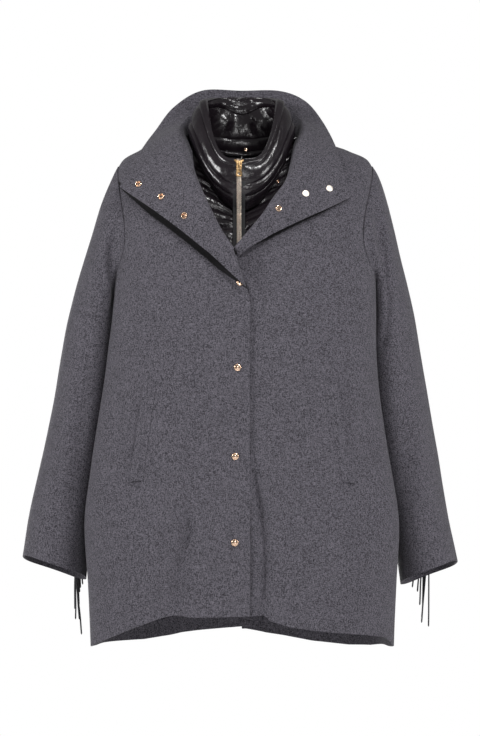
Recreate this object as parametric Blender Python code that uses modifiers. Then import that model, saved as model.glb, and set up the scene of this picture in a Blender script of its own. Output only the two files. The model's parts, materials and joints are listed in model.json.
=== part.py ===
"""Fringed jacket: a wool outer jacket with open funnel collar, over a quilted vest.

Metres, +Z up. The front faces -Y, and the wearer's right is -X. The origin is where the
wearer holds it: the centre of the neck, at the height of the back neck seam. Tables are in
millimetres. The jacket's body, sleeves and collar are lofts through the rows of the tables.
"""
import math

import bmesh
import bpy
import numpy as np
from mathutils import Matrix, Vector

MM = 0.001
WOOL = 2.6 * MM             # thickness of the wool
LAPEL = 3.4 * MM            # collar and lapels, two layers of wool
PADDING = 6 * MM            # quilted body of the vest
VEST_INSET = 11 * MM        # vest's outer face behind the jacket's outer face
SEAM = 0.35 * MM            # gap between two pieces at a seam
RIGHT, LEFT = -1, 1

# ---------------------------------------------------------------- tables, in millimetres
# The jacket's body: one row for each contour, from the neck seam down to the hem.
BODY_COLUMNS = ("front_z", "side_z", "back_z", "right_width", "left_width", "front_depth",
                "back_depth", "squareness",
                "right_dent", "left_dent", "right_edge", "left_edge", "underlap")
BODY_ROWS = (
    (-86, 24, 2, 84, 84, 98, 66, 2.0, 0, 0, -74, 76, 0),
    (-106, 14, -12, 122, 122, 112, 88, 2.0, 0, 0, -58, 56, 0),
    (-128, 1, -32, 153, 161, 122, 104, 2.1, 0, 0, -38, 30, 1.0),
    (-152, -24, -60, 185, 196, 130, 116, 2.2, 0, 0, -21, -5, 3.0),
    (-186, -95, -110, 196, 206, 136, 122, 2.4, 4, 6, -1, -16, 4.2),
    (-224, -170, -172, 198, 213, 141, 126, 2.6, 12, 20, 12, -26, 4.2),
    (-264, -240, -240, 203, 217, 144, 129, 2.8, 26, 41, 12, -30, 4.2),
    (-318, -314, -314, 213, 220, 147, 132, 3.0, 36, 58, 12, -30, 4.2),
    (-393, -393, -393, 225, 228, 150, 136, 3.0, 42, 65, 12, -30, 4.2),
    (-474, -476, -474, 239, 241, 152, 140, 3.0, 45, 64, 12, -30, 4.2),
    (-546, -554, -546, 248, 250, 153, 144, 3.0, 42, 47, 12, -30, 4.2),
    (-620, -642, -628, 242, 244, 153, 147, 2.9, 34, 34, 12, -30, 4.2),
    (-690, -737, -718, 235, 237, 152, 148, 2.8, 18, 18, 12, -30, 4.2),
)
HEM_COLUMNS = ("across", "front", "back_right", "back_left")
HEM_ROWS = (
    (-232, -739, -739, -739),
    (-165, -710, -737, -737),
    (-120, -693, -731, -731),
    (-100, -688, -727, -727),
    (-72, -692, -724, -724),
    (8, -690, -718, -722),
    (32, -688, -718, -726),
    (42, -697, -719, -728),
    (72, -706, -727, -732),
    (120, -713, -737, -740),
    (180, -718, -739, -745),
    (214, -723, -739, -744),
    (236, -740, -740, -740),
)
# The sleeves: one row for each ring, from the armhole to the cuff.
SLEEVE_COLUMNS = ("right_out", "left_out", "out_z", "right_in", "left_in", "in_z",
                  "half_depth", "middle", "back_drop")
SLEEVE_ROWS = (
    (188, 197, -24, 184, 190, -222, 66, 0, 0),
    (199, 211, -48, 187, 200, -234, 71, 2, 0),
    (212, 220, -80, 188, 201, -246, 76, 5, 0),
    (224, 230, -118, 189, 200, -262, 80, 8, 0),
    (238, 241, -165, 190, 196, -286, 83, 12, 0),
    (252, 254, -222, 192, 189, -322, 83, 14, 0),
    (269, 269, -303, 198, 191, -388, 83, 14, 0),
    (284, 284, -384, 207, 202, -458, 83, 14, 0),
    (301, 297, -465, 219, 217, -528, 83, 14, 2),
    (318, 311, -546, 229, 231, -592, 82, 14, 8),
    (329, 325, -609, 234, 239, -641, 80, 14, 15),
)
CUFF_DROP = {RIGHT: -9.0, LEFT: -1.5}
# The collar: one row for each section, from the centre back to the foot of a lapel.
# A section runs from its seam over the roll to the outer edge.
COLLAR_COLUMNS = ("seam_x", "seam_y", "seam_z", "roll_x", "roll_y", "roll_z",
                  "edge_x", "edge_y", "edge_z", "lift")
COLLAR_RIGHT = (
    (0, 68, 5, 0, 83, 46, 0, 91, 96.5, 0),
    (-39, 60.5, 9, -45, 77, 50, -60.5, 86, 96, 0),
    (-64, 43, 18, -75, 58, 53, -103, 68, 69.5, 1),
    (-79, 22, 26, -88, 28, 40, -130.5, 36, 31.5, 3),
    (-85, -4, 27, -91, -12, 32, -148, -26, 3, 5),
    (-79, -38, 12, -87, -52, 12, -167, -58, -26, 6),
    (-74, -65, -15, -77, -82, -20, -181, -77, -55, 7),
    (-65, -91, -58, -62, -108, -56, -133, -110, -88, 7),
    (-54, -112, -96, -47, -126, -89, -90, -127.5, -120, 7),
    (-42, -124, -126, -32, -138, -120, -44, -140, -157, 6),
    (-25, -136, -167, -14, -147.5, -149, 6, -148, -204, 4),
)
COLLAR_LEFT = (
    (0, 68, 5, 0, 83, 46, 0, 91, 96.5, 0),
    (39, 60.5, 9, 45, 77, 50, 58, 86, 95.5, 0),
    (64, 43, 18, 75, 58, 55, 95.5, 69, 79.5, 1),
    (79, 22, 26, 88, 30, 45, 120.5, 38, 48, 3),
    (85, -4, 27, 90, -10, 34, 138, -22, 10, 5),
    (79, -38, 12, 86, -50, 12, 150, -64, -28, 6),
    (74, -65, -15, 79, -80, -16, 161, -88, -71, 7),
    (62, -93, -62, 65, -104, -49, 122, -109.5, -90, 7),
    (48, -113, -98, 47, -121, -75, 84, -119.5, -107, 6),
    (34, -123, -124, 28, -134, -104, 46, -128.5, -125, 5),
    (-4, -131, -158, -11, -141.5, -149, -3, -139, -154, 3),
)
# The vest's standing collar, as the middle of its padding: the rim, and what it bows through.
RIM = dict(front_z=-14, side_z=79, back_z=85, width=53, front_depth=86, back_depth=64)
BOW = dict(front_z=-46, side_z=44, back_z=46, width=80, front_depth=98, back_depth=62)
TIP_ROW = 6                 # section at a lapel's point
RIM_RISE = 4                # how late the rim rises from the front to the side
VEST_HEM_Z = -684
NECK_FOOT_LIFT = 2.0 * MM    # the collar's foot stands on the vest's edge
NECK_SHRINK = 0.08          # vest's neck seam, inside the jacket's
NECK_CHANNELS = 3           # quilted channels round the collar
CHANNEL_PUFF = 2.4 * MM
NECK_PADDING = 9.5 * MM     # thickness of the vest's collar between its channels
NECK_RADIUS = 92 * MM       # of the vest's collar at the zip

# Pocket welts: the ends of the outer and the inner edge, on the front.
WELT_COLUMNS = ("side", "outer_top_x", "outer_top_z", "outer_foot_x", "outer_foot_z",
                "inner_top_x", "inner_top_z", "inner_foot_x", "inner_foot_z")
WELT_ROWS = (
    (RIGHT, -143, -346, -165, -492, -125, -343, -146, -489),
    (LEFT, 139, -344, 168, -495, 121, -342, 148, -491),
)
WELT_OFF = 0.4 * MM
# Press studs: where they show from the front, and the profile that each kind is turned from.
STUDS_ON_FRONT = (
    ("snap_front_1", "cap", -6, -323),
    ("snap_front_2", "cap", -9.5, -454),
    ("snap_front_3", "cap", -10, -581),
    ("snap_foot", "flat", -3, -197.5),
)
STUDS_ON_LAPELS = (
    ("snap_socket_1", "socket", -151, -51),
    ("snap_socket_2", "socket", -120, -71),
    ("snap_socket_3", "socket", -85.5, -99.5),
    ("snap_lapel_1", "flat", 130, -56),
    ("snap_lapel_2", "flat", 94, -66.5),
    ("snap_lapel_3", "flat", 54, -88),
)
SNAP_NECK = (math.pi - 0.105, 0.91)         # angle and place down the vest collar's inner face
SNAP_VEST = (0.56, 0.88)                    # angle and place down its outer face
STUD_PROFILES = {
    "cap": ((0, 0), (4.6, 0), (5.4, 1.0), (5.0, 2.0), (3.0, 2.9), (0, 3.2)),
    "flat": ((0, 0), (4.3, 0), (4.8, 0.8), (4.4, 1.6), (0, 1.7)),
    "small": ((0, 0), (3.0, 0), (3.4, 0.8), (2.4, 1.6), (0, 1.8)),
    "socket": ((0, 0), (4.7, 0), (5.2, 0.8), (4.4, 1.9), (2.6, 1.9), (2.2, 0.8), (0, 0.8)),
}
STUD_SIDES = 14
STUD_OFF = 0.45 * MM
STUD_OFF_QUILT = 1.8 * MM

FRINGE_STRANDS = 33
FRINGE_LENGTH = 100 * MM
STRAND_WIDTH = 2.0 * MM
STRAND_THICK = 1.1 * MM
FRINGE_TAPE = 4 * MM
FRINGE_TAPE_THICK = 1.0 * MM
TAPE_OFF = 1.0 * MM
STRAND_APART = 2.1 * MM     # every second strand hangs this much further back
STRAND_ASIDE = 2.0 * MM
STRAND_OUT = 1.2 * MM
STRAND_SHARE = 0.13         # half of a strand's root, as a share of the strands' pitch
STRAND_UNEVEN = 0.05        # strands differ in length by this share
FRINGE_ROWS = (4.0, 9.85)
FRINGE_TOP = {RIGHT: 268, LEFT: 270}        # degrees round the sleeve, 180 at the underarm
FRINGE_CUFF = {RIGHT: 238, LEFT: 274}

ZIP_X = -4 * MM
TAPE_WIDTH = 18 * MM
TAPE_THICK = 0.8 * MM
CHAIN_WIDTH = 7 * MM
CHAIN_THICK = 1.7 * MM
SEAM_LIFT = 2.2 * MM         # the zip bridges the seam under the vest's collar

ARMHOLE_TOP, ARMHOLE_FOOT = 3.0, 5.7        # rows of the body table
ARMHOLE_OPENING = 0.42                      # radians to each side of the side seam
ARMHOLE_GAP = 2.6 * SEAM                    # between a sleeve's edge and the panels
VENT_ROW = 9.3                              # the back vent opens below this row
VENT_START, VENT_EDGE = -18 * MM, 52 * MM
VENT_INSET = 4.4 * MM
DENT_MIDDLE, DENT_REACH = 16 * MM, 66 * MM  # hollow in the body's side, where a sleeve lies
BACK_NARROWING = 0.10

for stale in list(bpy.data.objects):
    bpy.data.objects.remove(stale)
jacket = bpy.data.collections.new("fringed_jacket")
bpy.context.scene.collection.children.link(jacket)


# ---------------------------------------------------------------- materials
def material(name, colour, roughness, metallic=0.0):
    made = bpy.data.materials.new(name)
    made.use_nodes = True
    shader = made.node_tree.nodes["Principled BSDF"]
    shader.inputs["Base Color"].default_value = (*colour, 1)
    shader.inputs["Roughness"].default_value = roughness
    shader.inputs["Metallic"].default_value = metallic
    return made


WOOL_GREY = material("wool_melange", (0.100, 0.095, 0.110), 0.95)
NYLON = material("nylon_black", (0.012, 0.012, 0.014), 0.35)
ZIP_BLACK = material("zip_tape_black", (0.015, 0.015, 0.016), 0.8)
ROSE_GOLD = material("rose_gold", (0.72, 0.46, 0.34), 0.25, 1.0)
FRINGE_BLACK = material("fringe_black", (0.014, 0.014, 0.018), 0.7)


# ---------------------------------------------------------------- tables to curves
def columns(names, rows):
    return dict(zip(names, np.array(rows, float).T))


def read(column, row):
    """A table's column at a fractional row, through a smooth curve."""
    row = np.clip(row, 0, len(column) - 1)
    i = np.clip(np.floor(row).astype(int), 0, len(column) - 2)
    t = row - i
    padded = np.concatenate([[2 * column[0] - column[1]], column, [2 * column[-1] - column[-2]]])
    a, b, c, d = (padded[i + k] for k in range(4))
    return b + 0.5 * t * (c - a + t * (2 * a - 5 * b + 4 * c - d + t * (3 * (b - c) + d - a)))


def smooth(t):
    t = np.clip(t, 0, 1)
    return t * t * (3 - 2 * t)


BODY = columns(BODY_COLUMNS, BODY_ROWS)
HEM = columns(HEM_COLUMNS, HEM_ROWS)
SLEEVE = columns(SLEEVE_COLUMNS, SLEEVE_ROWS)
LAST_ROW = len(BODY_ROWS) - 1


# ---------------------------------------------------------------- the body's surface
def body(angle, row, back_hem="back_right"):
    """Outer face of the jacket: angle 0 is the front, a quarter turn is the left side."""
    angle, row = np.broadcast_arrays(np.asarray(angle, float), np.asarray(row, float))
    s, c = np.sin(angle), np.cos(angle)
    width = MM * np.where(s < 0, read(BODY["right_width"], row), read(BODY["left_width"], row))
    depth = MM * np.where(c > 0, read(BODY["front_depth"], row), read(BODY["back_depth"], row))
    power = read(BODY["squareness"], row)
    radius = (np.abs(s / width) ** power + np.abs(c / depth) ** power) ** (-1 / power)
    x, y = radius * s, -radius * c
    share = np.abs(x) / width
    middle_z = np.where(c > 0, read(BODY["front_z"], row), read(BODY["back_z"], row))
    side_z = read(BODY["side_z"], row)
    z = MM * (side_z + (middle_z - side_z) * (1 - share ** 2))
    hem = MM * np.where(c > 0, np.interp(x / MM, HEM["across"], HEM["front"]),
                        np.interp(x / MM, HEM["across"], HEM[back_hem]))
    flat_hem = MM * (read(BODY["side_z"], LAST_ROW) + (np.where(
        c > 0, BODY["front_z"][-1], BODY["back_z"][-1]) - BODY["side_z"][-1]) * (1 - share ** 2))
    z = z + (hem - flat_hem) * smooth((row - 9) / 3)
    x = x * (1 - BACK_NARROWING * smooth(y / depth) * smooth((row - 3) / 3))
    dent = MM * np.where(s < 0, read(BODY["right_dent"], row), read(BODY["left_dent"], row))
    x = x - np.sign(x) * dent * share ** 4 * np.exp(-((y - DENT_MIDDLE) / DENT_REACH) ** 2)
    return np.stack([x, y, z], -1)


def body_normal(angle, row):
    step = 1e-3
    row = np.clip(row, step, LAST_ROW - step)
    across = body(angle + step, row) - body(angle - step, row)
    down = body(angle, row + step) - body(angle, row - step)
    normal = np.cross(down, across)
    return normal / np.linalg.norm(normal, axis=-1, keepdims=True)


def inset(angle, row, depth, back_hem="back_right"):
    """A point that lies a depth behind the jacket's outer face."""
    return body(angle, row, back_hem) - body_normal(angle, row) * np.asarray(depth)[..., None]


def angle_at(x, row, back=False):
    """The angle at which a contour reaches x, on the front or on the back."""
    x, row = np.broadcast_arrays(np.asarray(x, float), np.asarray(row, float))
    low, high = np.full(x.shape, -1.35), np.full(x.shape, 1.35)
    for _ in range(40):
        middle = (low + high) / 2
        turned = math.pi - middle if back else middle
        under = body(turned, row)[..., 0] < x
        low, high = np.where(under, middle, low), np.where(under, high, middle)
    return math.pi - low if back else low


def on_front(x, z, out=0.0):
    """Angle and row of the front's point that shows at x and z, out from the cloth."""
    x, z = np.broadcast_arrays(np.asarray(x, float), np.asarray(z, float))
    low, high = np.zeros(x.shape), np.full(x.shape, float(LAST_ROW))
    for _ in range(40):
        row = (low + high) / 2
        angle = angle_at(x, row)
        above = inset(angle, row, np.full(x.shape, -out))[..., 2] > z
        low, high = np.where(above, row, low), np.where(above, high, row)
    return angle_at(x, low), low


def armhole(row):
    """Half of the armhole's opening at a row, in radians."""
    reach = np.clip((row - ARMHOLE_TOP) / (ARMHOLE_FOOT - ARMHOLE_TOP), 0, 1)
    return ARMHOLE_OPENING * np.sin(math.pi * reach) ** 0.65


def pulled_back(angle, row, towards, gap=SEAM):
    """The angle moved towards another one by a gap on the surface."""
    step = 1e-3
    speed = np.linalg.norm(body(angle + step, row) - body(angle - step, row), axis=-1) / (2 * step)
    return angle + np.sign(towards - angle) * gap / speed


# ---------------------------------------------------------------- walls
def add_object(name, mesh_data, finish, smooth_angle=40):
    obj = bpy.data.objects.new(name, mesh_data)
    jacket.objects.link(obj)
    mesh_data.materials.append(finish)
    mesh_data.shade_smooth()
    mesh_data.set_sharp_from_angle(angle=math.radians(smooth_angle))
    return obj


def wall(name, outer, inner, finish, ring=False):
    """A closed wall between two grids of points; a ring's columns close on themselves."""
    rows, cols = outer.shape[:2]
    bm = bmesh.new()
    faces = [[[bm.verts.new(grid[i, j]) for j in range(cols)] for i in range(rows)]
             for grid in (outer, inner)]
    spans = [(j, (j + 1) % cols) for j in range(cols if ring else cols - 1)]
    for grid in faces:
        for i in range(rows - 1):
            for j, k in spans:
                bm.faces.new((grid[i][j], grid[i][k], grid[i + 1][k], grid[i + 1][j]))
    front, behind = faces
    for i in (0, rows - 1):
        for j, k in spans:
            bm.faces.new((front[i][j], front[i][k], behind[i][k], behind[i][j]))
    if not ring:
        for i in range(rows - 1):
            for j in (0, cols - 1):
                bm.faces.new((front[i][j], front[i + 1][j], behind[i + 1][j], behind[i][j]))
    bmesh.ops.recalc_face_normals(bm, faces=bm.faces)
    mesh_data = bpy.data.meshes.new(name)
    bm.to_mesh(mesh_data)
    bm.free()
    return add_object(name, mesh_data, finish)


def grid_normals(grid, ring=False):
    """Normals of a grid of points, by the differences between its neighbours."""
    down = np.gradient(grid, axis=0)
    across = (np.roll(grid, -1, 1) - np.roll(grid, 1, 1)) if ring else np.gradient(grid, axis=1)
    normal = np.cross(down, across)
    return normal / np.linalg.norm(normal, axis=-1, keepdims=True)


def rows_between(first, last, count, extra=()):
    return np.unique(np.concatenate([np.linspace(first, last, count), extra]))


# ---------------------------------------------------------------- fronts and back
ARMHOLE_ROWS = (3.0, 3.08, 3.3, 3.7, 4.2, 4.75, 5.2, 5.5, 5.64, 5.7)
PANEL_ROWS = (0, 0.5, 1.0, 1.6, 2.3) + ARMHOLE_ROWS + (6.1, 6.7, 7.4, 8.1, 8.8, 9.5, 10.2, 10.9, 11.5, 12)


def front_panel(name, side, cols=9):
    rows = np.array(PANEL_ROWS)[:, None]
    edge = MM * read(BODY["right_edge" if side == RIGHT else "left_edge"], rows)
    start = angle_at(edge, rows)
    end = pulled_back(side * (math.pi / 2 - armhole(rows)), rows, 0)
    angle = start + (end - start) * np.linspace(0, 1, cols)
    rows = np.broadcast_to(rows, angle.shape)
    under = np.zeros(angle.shape)
    if side == LEFT:
        x = body(angle, rows)[..., 0]
        under = MM * read(BODY["underlap"], rows) * smooth((50 * MM - x) / (32 * MM))
    return wall(name, inset(angle, rows, under), inset(angle, rows, under + WOOL), WOOL_GREY)


def back_panel(name, side, cols=8):
    hem = "back_right" if side == RIGHT else "back_left"
    rows = np.array(PANEL_ROWS)[:, None]
    start = angle_at(np.full(rows.shape, side * SEAM / 2), rows, back=True)
    side_angle = math.pi / 2 if side == LEFT else 3 * math.pi / 2
    end = pulled_back(side_angle + side * armhole(rows), rows, math.pi)
    angle = start + (end - start) * np.linspace(0, 1, cols)
    rows = np.broadcast_to(rows, angle.shape)
    return wall(name, inset(angle, rows, 0 * angle, hem), inset(angle, rows, 0 * angle + WOOL, hem),
                WOOL_GREY)


def vent_underlap():
    """The right half's extension behind the left one, below the top of the back vent."""
    rows = np.linspace(VENT_ROW, LAST_ROW, 6)[:, None]
    angle = angle_at(np.linspace(VENT_START, VENT_EDGE, 5), rows, back=True)
    rows = np.broadcast_to(rows, angle.shape)
    under = np.full(angle.shape, VENT_INSET)
    return wall("vent_underlap", inset(angle, rows, under), inset(angle, rows, under + WOOL), WOOL_GREY)


# ---------------------------------------------------------------- sleeves
def armhole_ring(side, turn):
    """Points of the armhole's edge: turn 0 is the shoulder, a half turn the underarm."""
    row = ARMHOLE_TOP + (ARMHOLE_FOOT - ARMHOLE_TOP) * (1 - np.cos(turn)) / 2
    forward = np.where(np.sin(turn) >= 0, 1, -1)
    angle = side * (math.pi / 2 - forward * armhole(row))
    points = body(angle, row)
    middle = (body(side * math.pi / 2, ARMHOLE_TOP) + body(side * math.pi / 2, ARMHOLE_FOOT)) / 2
    inward = middle - points
    inward = inward / np.linalg.norm(inward, axis=-1, keepdims=True)
    return points + (inward + body_normal(angle, row)) * ARMHOLE_GAP


def sleeve_surface(side, turn, row):
    """Outer face of a sleeve: turn 0 is the outer side, a quarter turn the front."""
    turn, row = np.broadcast_arrays(np.asarray(turn, float), np.asarray(row, float))
    which = "right" if side == RIGHT else "left"
    outer = np.stack([side * read(SLEEVE[which + "_out"], row), read(SLEEVE["middle"], row),
                      read(SLEEVE["out_z"], row)], -1)
    inner = np.stack([side * read(SLEEVE[which + "_in"], row), read(SLEEVE["middle"], row),
                      read(SLEEVE["in_z"], row)], -1)
    c, s = np.cos(turn), np.sin(turn)
    round_ = (np.abs(c) ** 2.3 + np.abs(s) ** 2.3) ** (-1 / 2.3)
    point = (outer + inner) / 2 + (outer - inner) / 2 * (c * round_)[..., None]
    point[..., 1] -= read(SLEEVE["half_depth"], row) * s * round_
    point[..., 2] -= read(SLEEVE["back_drop"], row) * smooth(-s * round_ * 0.5 + 0.5)
    point[..., 2] -= CUFF_DROP[side] * smooth((row - 7) / 3)
    share = smooth(row / 2.2)[..., None]
    return armhole_ring(side, turn) * (1 - share) + MM * point * share


def sleeve(name, side):
    rows = np.array([0, 0.75, 1.35, 2.0, 2.7, 3.5, 4.5, 5.6, 6.7, 7.8, 8.9, 10])[:, None]
    reach = (np.array(ARMHOLE_ROWS) - ARMHOLE_TOP) / (ARMHOLE_FOOT - ARMHOLE_TOP)
    front = np.arccos(1 - 2 * reach)
    turn = np.concatenate([front, 2 * math.pi - front[-2:0:-1]])
    outer = sleeve_surface(side, turn, rows)
    normal = grid_normals(outer, ring=True) * (1 if side == LEFT else -1)
    centre = outer.mean(axis=1, keepdims=True)
    if ((outer - centre) * normal).sum() < 0:
        normal = -normal
    return wall(name, outer, outer - normal * WOOL, WOOL_GREY, ring=True)


# ---------------------------------------------------------------- collar and lapels
def collar_half(rows_table, steps):
    """Middle of the collar's cloth, a section for each step from the back to a lapel's foot."""
    table = columns(COLLAR_COLUMNS, rows_table)
    at = np.linspace(0, len(rows_table) - 1, steps)
    seam, roll = (np.stack([read(table[f"{part}_{axis}"], at) for axis in "xyz"], -1)
                  for part in ("seam", "roll"))
    edge = np.stack([np.where(at < TIP_ROW, read(table[f"edge_{axis}"][:TIP_ROW + 1], at),
                              np.interp(at, np.arange(len(rows_table)), table[f"edge_{axis}"]))
                     for axis in "xyz"], -1)
    lift = read(table["lift"], at)[:, None] * np.array([0, -0.75, 0.65])
    shoulder = roll + (edge - roll) * 0.14 + lift
    middle = roll + (edge - roll) * 0.55 + lift * 0.7
    stations = np.stack([seam, roll, shoulder, middle, edge])
    sections = [np.stack([read(stations[:, i, axis], np.array(COLLAR_STEPS)) for axis in range(3)], -1)
                for i in range(steps)]
    return MM * np.stack(sections)


COLLAR_STEPS = (0, 0.5, 1.0, 1.6, 2.2, 2.8, 3.4, 4.0)


def collar_grid(steps=21):
    """Middle of the whole collar's cloth, from the right lapel's foot to the left one's."""
    right = collar_half(COLLAR_RIGHT, steps)
    left = collar_half(COLLAR_LEFT, steps)
    return np.concatenate([right[::-1], left[1:]])


def collar_faces(steps=21):
    grid = collar_grid(steps)
    normal = grid_normals(grid)
    return grid + normal * LAPEL / 2, grid - normal * LAPEL / 2


def collar():
    face, back = collar_faces()
    return wall("collar", face, back, WOOL_GREY)


# ---------------------------------------------------------------- vest
def vest_body(angle, row, depth=0.0):
    point = inset(angle, row, np.broadcast_to(VEST_INSET + depth, np.broadcast(angle, row).shape))
    shrink = 1 - NECK_SHRINK * smooth(1 - np.asarray(row) / 0.9)
    return point * np.stack([shrink, shrink, np.ones_like(shrink)], -1)


def vest_end_row(angle):
    """The row at which the vest's hem is reached."""
    low, high = np.full(np.shape(angle), 9.0), np.full(np.shape(angle), float(LAST_ROW))
    for _ in range(30):
        row = (low + high) / 2
        above = vest_body(angle, row)[..., 2] > MM * VEST_HEM_Z
        low, high = np.where(above, row, low), np.where(above, high, row)
    return low


VEST_ROWS = (0.02, 0.25, 0.6, 1.0, 1.6, 2.3, 3.0, 3.3, 3.8, 4.5, 5.2, 5.5, 5.8, 6.6, 7.4, 8.2, 9.0, 9.8,
             10.5, 11.2, 12)


def vest_panel(name, start, end, cols):
    """A piece of the vest between two angles, given for each row."""
    rows = np.array(VEST_ROWS)[:, None]
    first, last = start(rows), end(rows)
    angle = first + (last - first) * np.linspace(0, 1, cols)
    low = vest_end_row(angle[-1])
    rows = rows + (low - LAST_ROW) * smooth((rows / LAST_ROW - 0.7) / 0.3)
    return wall(name, vest_body(angle, rows), vest_body(angle, rows, PADDING), NYLON)


def vest_pieces():
    def zip_edge(side):
        return lambda rows: angle_at(np.full(rows.shape, ZIP_X + side * 1.2 * SEAM), rows)

    def flank(turn, away):
        return lambda rows: turn + away * (armhole(rows) * 1.12 + 0.004)

    quarter = math.pi / 2
    vest_panel("vest_front_right", zip_edge(RIGHT), flank(-quarter, 1), 7)
    vest_panel("vest_front_left", zip_edge(LEFT), flank(quarter, -1), 7)
    vest_panel("vest_back", flank(quarter, 1), flank(3 * quarter, -1), 11)


def neck_ring(sizes, angle, rise):
    s, c = np.sin(angle), np.cos(angle)
    depth = np.where(c > 0, sizes["front_depth"], sizes["back_depth"])
    radius = (np.abs(s / sizes["width"]) ** 2.2 + np.abs(c / depth) ** 2.2) ** (-1 / 2.2)
    share = np.abs(radius * s) / sizes["width"]
    middle_z = np.where(c > 0, sizes["front_z"], sizes["back_z"])
    z = sizes["side_z"] + (middle_z - sizes["side_z"]) * (1 - share ** rise)
    return MM * np.stack([radius * s, -radius * c, z], -1)


def neck_middle(angle, down):
    """Middle of the vest collar's padding: down 0 is its rim, 1 its seam to the vest."""
    angle, down = np.broadcast_arrays(np.asarray(angle, float), np.asarray(down, float))
    share = down[..., None]
    rim = neck_ring(RIM, angle, RIM_RISE)
    bow = neck_ring(BOW, angle, 3)
    foot = vest_body(angle, np.zeros(angle.shape)) + np.array([0, 0, NECK_FOOT_LIFT])
    return (1 - share) ** 2 * rim + 2 * share * (1 - share) * bow + share ** 2 * foot


def neck_thickness(angle, down):
    """The padding swells in each channel, and thins at the rim, the zip and the seam."""
    swell = CHANNEL_PUFF * np.abs(np.sin(math.pi * NECK_CHANNELS * down))
    by_zip = smooth((np.abs(np.sin(angle)) - 0.14) * 4 + 2 * (np.cos(angle) < 0))
    rim = 0.45 + 0.55 * smooth(down / 0.10)
    foot = 1 - 0.6 * smooth((down - 0.7) / 0.3)
    return (NECK_PADDING + 2 * swell * by_zip) * rim * foot


def neck_normal(angle, down):
    step = 1e-3
    down = np.clip(down, step, 1 - step)
    across = neck_middle(angle + step, down) - neck_middle(angle - step, down)
    along = neck_middle(angle, down + step) - neck_middle(angle, down - step)
    normal = np.cross(along, across)
    return normal / np.linalg.norm(normal, axis=-1, keepdims=True)


def neck_face(angle, down, out=0.0):
    angle, down = np.broadcast_arrays(np.asarray(angle, float), np.asarray(down, float))
    lift = neck_thickness(angle, down) / 2 + out
    return neck_middle(angle, down) + neck_normal(angle, down) * lift[..., None]


NECK_ROWS = rows_between(0, 0.992, 4 * NECK_CHANNELS + 1, (0.03,))


def vest_collar(around=30):
    """The standing collar, open at the front where the zip closes it."""
    down = NECK_ROWS[:, None]
    half_gap = 1.2 * SEAM / (RIM["front_depth"] * MM)
    angle = ZIP_X / NECK_RADIUS + np.linspace(half_gap, 2 * math.pi - half_gap, around)
    outer = neck_face(angle, down)
    inner = 2 * neck_middle(angle, down) - outer
    return wall("vest_collar", outer, inner, NYLON)


# ---------------------------------------------------------------- zip
def zip_line(x, out):
    """Points down the zip at x: over the collar, then down the vest to its hem."""
    down = NECK_ROWS[2:-1]
    upper = neck_face(np.full(down.shape, x / NECK_RADIUS), down)
    rows = np.array(VEST_ROWS[1:-1])
    lower = vest_body(angle_at(np.full(rows.shape, x), rows), rows)
    line = np.concatenate([upper, lower])
    line[:, 0] = x
    along = np.gradient(line, axis=0)
    forward = np.stack([np.zeros(len(line)), along[:, 2], -along[:, 1]], -1)
    forward = forward / np.linalg.norm(forward, axis=-1, keepdims=True)
    over_seam = SEAM_LIFT * np.exp(-((line[:, 2] - line[len(down), 2] - 8 * MM) / (14 * MM)) ** 2)
    return line + forward * (out + over_seam[:, None])


def zip_strip(name, width, thick, out, finish, cols=3):
    across = ZIP_X + np.linspace(-width / 2, width / 2, cols)
    top = np.stack([zip_line(x, out + thick) for x in across], 1)
    foot = np.stack([zip_line(x, out) for x in across], 1)
    return wall(name, top, foot, finish)


def block(bm, low, high):
    low, high = Vector(low), Vector(high)
    matrix = Matrix.Translation((low + high) / 2) @ Matrix.Diagonal((*(high - low), 1))
    bmesh.ops.create_cube(bm, size=1, matrix=matrix)


def block_object(name, low, high, finish):
    bm = bmesh.new()
    block(bm, low, high)
    data = bpy.data.meshes.new(name)
    bm.to_mesh(data)
    bm.free()
    return add_object(name, data, finish)


def settle(obj):
    """Makes an object's modifiers part of its mesh."""
    made = bpy.data.meshes.new_from_object(obj.evaluated_get(bpy.context.evaluated_depsgraph_get()))
    obj.modifiers.clear()
    obj.data = made


def joined(target, others, operation="UNION"):
    """Applies a Boolean of each other object to the target, and removes the others."""
    for other in others:
        cut = target.modifiers.new(other.name, "BOOLEAN")
        cut.operation = operation
        cut.object = other
        settle(target)
        bpy.data.objects.remove(other)


# The slider: its face stands this far out, and the arch holds the pull tab's bar.
SLIDER_DOWN = 0.155                         # its place down the vest's collar
SLIDER_SINK = 1.2 * MM                      # how far its body goes over the chain
SLIDER_SIZE = (11 * MM, 4 * MM, 11 * MM)
AXIS_BELOW = 0.8 * MM                       # the pull's axis, below the slider's middle
ARCH_WIDTH = 2.2 * MM
ARCH_THICK = 1.2 * MM
ARCH_CLEAR = 2.8 * MM
ARCH_UP, ARCH_DOWN = 4.0 * MM, 2.4 * MM     # from the pull's axis to the arch's ends
PULL_WIDTH, PULL_LENGTH, PULL_THICK = 9 * MM, 18 * MM, 1.4 * MM
PULL_SLOT = (4.0 * MM, 5.0 * MM)            # width and length
PULL_BAR = 1.5 * MM


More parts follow.
